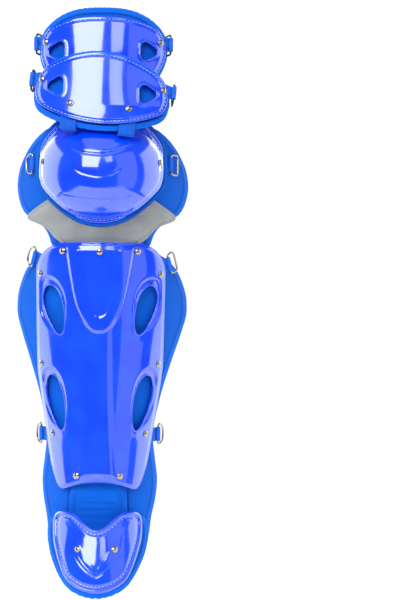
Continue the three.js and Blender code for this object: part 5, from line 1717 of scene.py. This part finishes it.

# %% [markdown]
# ## The gel window
# The gel is clear and yellow-green, and has puckered into upright folds that catch the light in pale streaks. Real
# glassiness would show the dark foam behind it, so only a little light goes through. The folds are waves in the mesh.
# A noise stretched upright paints the pale streaks into the colour as painted highlights, with gold streaks among them.

# %% Build the gel window
gel, tree, surface = new_material("clear_gel", Roughness=0.07, Specular_IOR_Level=0.7, Coat_Weight=1.0,
                                  Coat_Roughness=0.05, Transmission_Weight=0.15)
vector, edge = cloth_inputs(tree)
stretched = add_node(tree, "ShaderNodeMapping", {0: vector, 3: (14.0, 1.6, 1.0)}).outputs[0]
streaks = add_node(tree, "ShaderNodeTexNoise", {"Vector": stretched, "Scale": 1.6, "Detail": 3.0}).outputs[0]
# Painted highlight: pale streaks in the base colour, where the folds catch the light.
gel_with_painted_highlight = mix_colours(tree, ramp_between(tree, streaks, 0.35, 0.65), srgb(168, 204, 62), srgb(226, 240, 150))
striped = mix_colours(tree, ramp_between(tree, streaks, 0.6, 0.75), gel_with_painted_highlight, srgb(206, 196, 46))
tree.links.new(striped, surface["Base Color"])
tree.links.new(bump(tree, streaks, 0.002, 0.6), surface["Normal"])

GEL_OUT = CUSHION_FRONT - CUSHION_THICKNESS * 0.55
piece = Piece()
gel_outline = Outline(GEL_ROWS, GEL_BASE, GEL_LENGTH, GEL_WIDTH, rise=2, drop=8)
pattern = Pattern(gel_outline, ((0.3, 0.62), (0.7, 0.62)), pitch=1.1, band=4)


def gel_back(x, z, edge):
    folds = 0.45 * np.sin(x * 0.9 + 1.5 * np.sin(z * 0.12)) + 0.3 * np.sin(x * 2.1 + 0.7)
    return GEL_OUT - 2.2 * smooth(0, 9, edge) + folds * smooth(2, 8, edge)


add_panel(piece, pattern, leg, lambda x, z, edge: GEL_OUT + 2.6 + 0 * x, gel_back, gel, gel, drawn=GEL_OUT, bulge=1)
piece.finish("gel_panel", ["gel_window"])

# %% [markdown]
# ## The shin pad
# A block of foam under open black mesh, with two raised leaves and a band that crosses between them. The crossing
# seams are slanted, so they are drawn in full and not mirrored.

# %% Build the shin pad
SHIN_PAD_LENGTH, SHIN_PAD_WIDTH = 213, 126
SHIN_PAD_ROWS = {
    "up": [0, 0.06, 0.17, 0.36, 0.57, 0.7, 0.81, 0.91, 0.97, 1],
    "half": [0.49, 0.62, 0.76, 0.84, 0.91, 0.97, 1, 0.96, 0.82, 0.66],
}
PAD_SEAMS = [
    [(44, 96), (28.4, 96.1), (15.3, 84.5), (6.5, 68.5), (9.5, 56.9), (18.2, 35), (26.9, 10.3), (32, -17), (33, -50),
     (28, -84)],
    [(-58, 76), (-54.5, 83), (-44.3, 86), (-34.2, 80.1), (-26.9, 67), (-22.5, 46.7), (-18.9, 17.6), (-16.7, -11.5),
     (-15, -45), (-19, -90)],
    [(-2.2, 97), (-10.9, 83), (-21, 90.3), (-32.7, 96.9), (-48.7, 98), (-56, 93.2), (-60, 81.6)],
    [(-12.4, 81), (-2.2, 71.4), (6.5, 65)],
    [(5, 38), (7.7, 10), (9.5, -26), (8, -60), (4, -96)],
]
pad_depths = {"up": [0, 22, 63], "depth": [CUSHION_BACK + 4.6, CUSHION_BACK + 5.4, CUSHION_EDGE + 1.0]}


def shin_pad_depth(x, z):
    ends = smooth(0.6, 1.1, np.abs(z) / (SHIN_PAD_LENGTH / 2))
    return along(pad_depths, "depth", np.abs(x)) + (CUSHION_EDGE - CUSHION_BACK) * 0.5 * ends


shin_pad_outline = Outline(SHIN_PAD_ROWS, -SHIN_PAD_LENGTH / 2, SHIN_PAD_LENGTH, SHIN_PAD_WIDTH, rise=-3, drop=-2)
build_cushion("cushion_shin", "shin_pad", shin_pad_outline, PAD_SEAMS, shin_pad_depth, mesh_cloth, width=12.0,
              height=5.8, binding=5.0)

# %% [markdown]
# ## Hinge straps
# Two flat webbing straps hinge the second flap. They are wrapped round its lower edge and run up behind it, so a path
# gives the height above that edge and the distance out from the pad's back. A cross-section with eight corners is
# swept along it, which keeps the webbing's crisp thin edge.

# %% Build the hinge straps
webbing_cloth = woven("azure_webbing", srgb(40, 116, 232), srgb(16, 84, 206), AZURE, -1.0, threads=60.0, depth=0.0003)
STRAP_WIDTH, STRAP_PLACE = 18, 33
strap_front = FLAP_PAD + 0.5 * LAYER_GAP + WEBBING / 2
strap_behind = -LAYER_GAP - WEBBING / 2
STRAP_PATH = [(14, strap_front), (6, strap_front), (-0.5, strap_front - 1), (-3.6, strap_front - 4),
              (-4.2, FLAP_PAD / 2), (-3.6, 2), (-0.5, -LAYER_GAP)]
STRAP_PATH += [(up, strap_behind) for up in (6, 20, 36, 52, 70)]
STRAP_SECTION = [(-1, -0.5), (-0.96, -1), (0.96, -1), (1, -0.5), (1, 0.5), (0.96, 1), (-0.96, 1), (-1, 0.5)]
STRAP_PITCH = 1.6
strap_bottom = SECOND_FLAP_BASE - SECOND_RISE * 0.82


def build_hinge_strap(side, hand):
    path = evenly(np.array(STRAP_PATH), STRAP_PITCH)
    run = np.gradient(path, axis=0)
    run /= np.hypot(*run.T)[:, None]
    points = []
    for across, thick in STRAP_SECTION:
        offset = thick * WEBBING / 2
        place = path + np.stack([-run[:, 1], run[:, 0]], 1) * offset
        x = side * STRAP_PLACE + across * STRAP_WIDTH / 2 + 0 * place[:, 0]
        x, z = second_outline.tilted(x, strap_bottom + place[:, 0])
        foot = leg.foot(x, z, second_front(x, z))
        points.append(leg.point(*foot, second_back(x, z) + place[:, 1]))
    count, around = len(path), len(STRAP_SECTION)
    points = np.stack(points, 1).reshape(-1, 3)
    index = np.arange(count * around).reshape(count, around)
    after = np.roll(index, -1, 1)
    quads = np.stack([index[:-1], after[:-1], after[1:], index[1:]], -1).reshape(-1, 4)
    caps = [index[0][::-1].reshape(1, -1), index[-1].reshape(1, -1)]
    across = np.tile([a * STRAP_WIDTH / 2 for a, _ in STRAP_SECTION], count)
    up = np.repeat(np.arange(count) * STRAP_PITCH, around)
    piece = Piece()
    piece.add(points, [quads, *caps], webbing_cloth, cloth=np.stack([across, up], 1))
    piece.close(points)
    piece.finish("strap_hinge_" + hand, ["hinge_strap_" + hand])


build_hinge_strap(-1, "left")
build_hinge_strap(1, "right")

# %% [markdown]
# ## The metals
# The rings at the knee and the shin and all the rivets are worn nickel, and the flaps' rings a darker gunmetal. A
# metal is all reflection, so its look comes from how evenly it is polished.

# %% Nickel and gunmetal
def metal_finish(name, colour, low, high):
    material, tree, surface = new_material(name, Base_Color=colour, Metallic=1.0)
    worn = use_group(tree, handling, {"Scale": 160.0, "Low": low, "High": high})
    tree.links.new(worn["Roughness"], surface["Roughness"])
    tree.links.new(bump(tree, worn["Height"], 0.00004, 0.5), surface["Normal"])
    return material


nickel = metal_finish("worn_nickel", srgb(172, 164, 150), 0.14, 0.3)
gunmetal = metal_finish("gunmetal", srgb(74, 72, 74), 0.2, 0.36)
print("metals:", nickel.name, gunmetal.name)

# %% [markdown]
# ## Parts rebuilt from their solids
# Tabs and rings already lie where they should as solids, each at its own angle. Building them again from numbers would
# copy all those angles. So each starts from its own solid: its triangles are merged into plain faces, and a
# subdivision rounds them.

# %% Rebuild a solid
def merged_solid(node):
    body = bmesh.new()
    body.from_mesh(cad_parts[node].data)
    bmesh.ops.remove_doubles(body, verts=body.verts, dist=1e-6)
    bmesh.ops.join_triangles(body, faces=body.faces, angle_face_threshold=0.6, angle_shape_threshold=1.2)
    return body


def rebuilt(name, node, body, material, levels):
    mesh = bpy.data.meshes.new(name)
    body.to_mesh(mesh)
    body.free()
    mesh.materials.append(material)
    mesh.polygons.foreach_set("use_smooth", [True] * len(mesh.polygons))
    thing = bpy.data.objects.new(name, mesh)
    scene.collection.objects.link(thing)
    modifier = thing.modifiers.new("smooth", "SUBSURF")
    modifier.levels = modifier.render_levels = levels
    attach(thing, "root")
    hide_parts(node)
    print(name, "faces:", len(mesh.polygons))


print("solids to rebuild:", sum(node.endswith(("_tab", "_ring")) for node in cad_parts))

# %% [markdown]
# ## Tabs of webbing
# A tab is a short loop of webbing that is sewn to the edge and holds a ring. Its corners are broken by a small bevel
# before it is smoothed, because webbing folds sharply but never to a knife edge.

# %% How a tab is rounded
TAB_CORNER, TAB_ROUND = math.radians(62), 0.00038
tab_cloth, tree, surface = new_material("tab_webbing", Roughness=0.8, Specular_IOR_Level=0.25)
worn = use_group(tree, handling, {"Scale": 60.0, "Low": 0.7, "High": 0.9})
place = add_node(tree, "ShaderNodeTexCoord").outputs["Object"]
ribs = use_group(tree, weave, {"Vector": place, "Threads": 700.0})
# Painted shade darkens the webbing between its ribs.
shade = ramp_between(tree, ribs["Shade"], 0.0, 1.0, 0.2, 1.0)
tree.links.new(mix_colours(tree, shade, srgb(16, 84, 206), srgb(40, 116, 236)), surface["Base Color"])
tree.links.new(worn["Roughness"], surface["Roughness"])
tree.links.new(bump(tree, ribs["Height"], 0.0002, 0.7), surface["Normal"])


def round_tab(node):
    body = merged_solid(node)
    sharp = [e for e in body.edges if len(e.link_faces) == 2 and e.calc_face_angle(0) > TAB_CORNER]
    bmesh.ops.bevel(body, geom=sharp, offset=TAB_ROUND, segments=2, affect="EDGES")
    rebuilt("tab_" + node[:-4], node, body, tab_cloth, 1)


print("tabs:", sum(node.endswith("_tab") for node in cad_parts))

# %% [markdown]
# ## Wire rings
# The rings are bent from round wire. Smoothing a faceted wire shrinks it a little, so it is grown by that much first.
# Each ring is then built beside the tab that holds it.

# %% Build the tabs and the rings
WIRE_GROWTH = 0.00022


def round_ring(node, material):
    body = merged_solid(node)
    body.normal_update()
    for vert in body.verts:
        vert.co += vert.normal * WIRE_GROWTH
    rebuilt("loop_" + node[:-5], node, body, material, 2)


for node in sorted(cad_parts):
    if node.endswith("_tab"):
        round_tab(node)
    if node.endswith("_ring"):
        round_ring(node, gunmetal if "flap" in node else nickel)

# %% [markdown]
# ## Rivets
# A rivet is a domed cap with a thin rim. On its solid only the place and the axis matter: the axis is the direction in
# which its points spread least, and the wide end is the seat. A profile turned about that axis makes the cap, as on a
# lathe.

# %% Turn the rivets
RIVET_TURN = 28
RIVET_PROFILE = [(0, 1.95), (0.7, 1.93), (1.5, 1.78), (2.3, 1.45), (2.9, 1.0), (3.15, 0.72), (3.3, 0.7), (3.7, 0.62),
                 (3.9, 0.35), (3.85, 0.0)]
SEAT_RADIUS, HEAD_RADIUS = 3.4, 3


def turn_rivet(node):
    """A domed rivet on the axis of its solid, whose wide end is the seat."""
    points = np.array([v.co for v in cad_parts[node].data.vertices], float)
    points = np.unique(np.round(points, 6), axis=0) / MM
    centre = points.mean(0)
    axis = np.linalg.svd(points - centre)[2][-1]
    along_axis = (points - centre) @ axis
    radius = np.linalg.norm(points - centre - along_axis[:, None] * axis, axis=1)
    if along_axis[radius > HEAD_RADIUS].mean() > along_axis[radius < HEAD_RADIUS].mean():
        axis = -axis
    seat = points[radius > SEAT_RADIUS].mean(0)
    side = np.cross(axis, [0, 0, 1.0])
    side /= np.linalg.norm(side)
    other = np.cross(axis, side)
    angles = np.linspace(0, 2 * np.pi, RIVET_TURN, endpoint=False)
    rings = [seat + axis * high + r * (np.cos(angles)[:, None] * side + np.sin(angles)[:, None] * other)
             for r, high in RIVET_PROFILE[1:]]
    tip = seat + axis * RIVET_PROFILE[0][1]
    points = np.concatenate(rings + [[tip], [seat]])
    index = np.arange(len(rings) * RIVET_TURN).reshape(len(rings), RIVET_TURN)
    after = np.roll(index, -1, 1)
    quads = np.stack([index[:-1], index[1:], after[1:], after[:-1]], -1).reshape(-1, 4)
    top = np.stack([index[0], after[0], np.full(RIVET_TURN, len(points) - 2)], -1)
    under = np.stack([after[-1], index[-1], np.full(RIVET_TURN, len(points) - 1)], -1)
    piece = Piece()
    piece.add(points, [quads, top, under], nickel)
    piece.close(points)
    piece.finish(node.replace("rivet_", "stud_"), [node])


rivets = [node for node in sorted(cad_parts) if node.startswith("rivet_")]
for node in rivets:
    turn_rivet(node)
print("rivets:", len(rivets))
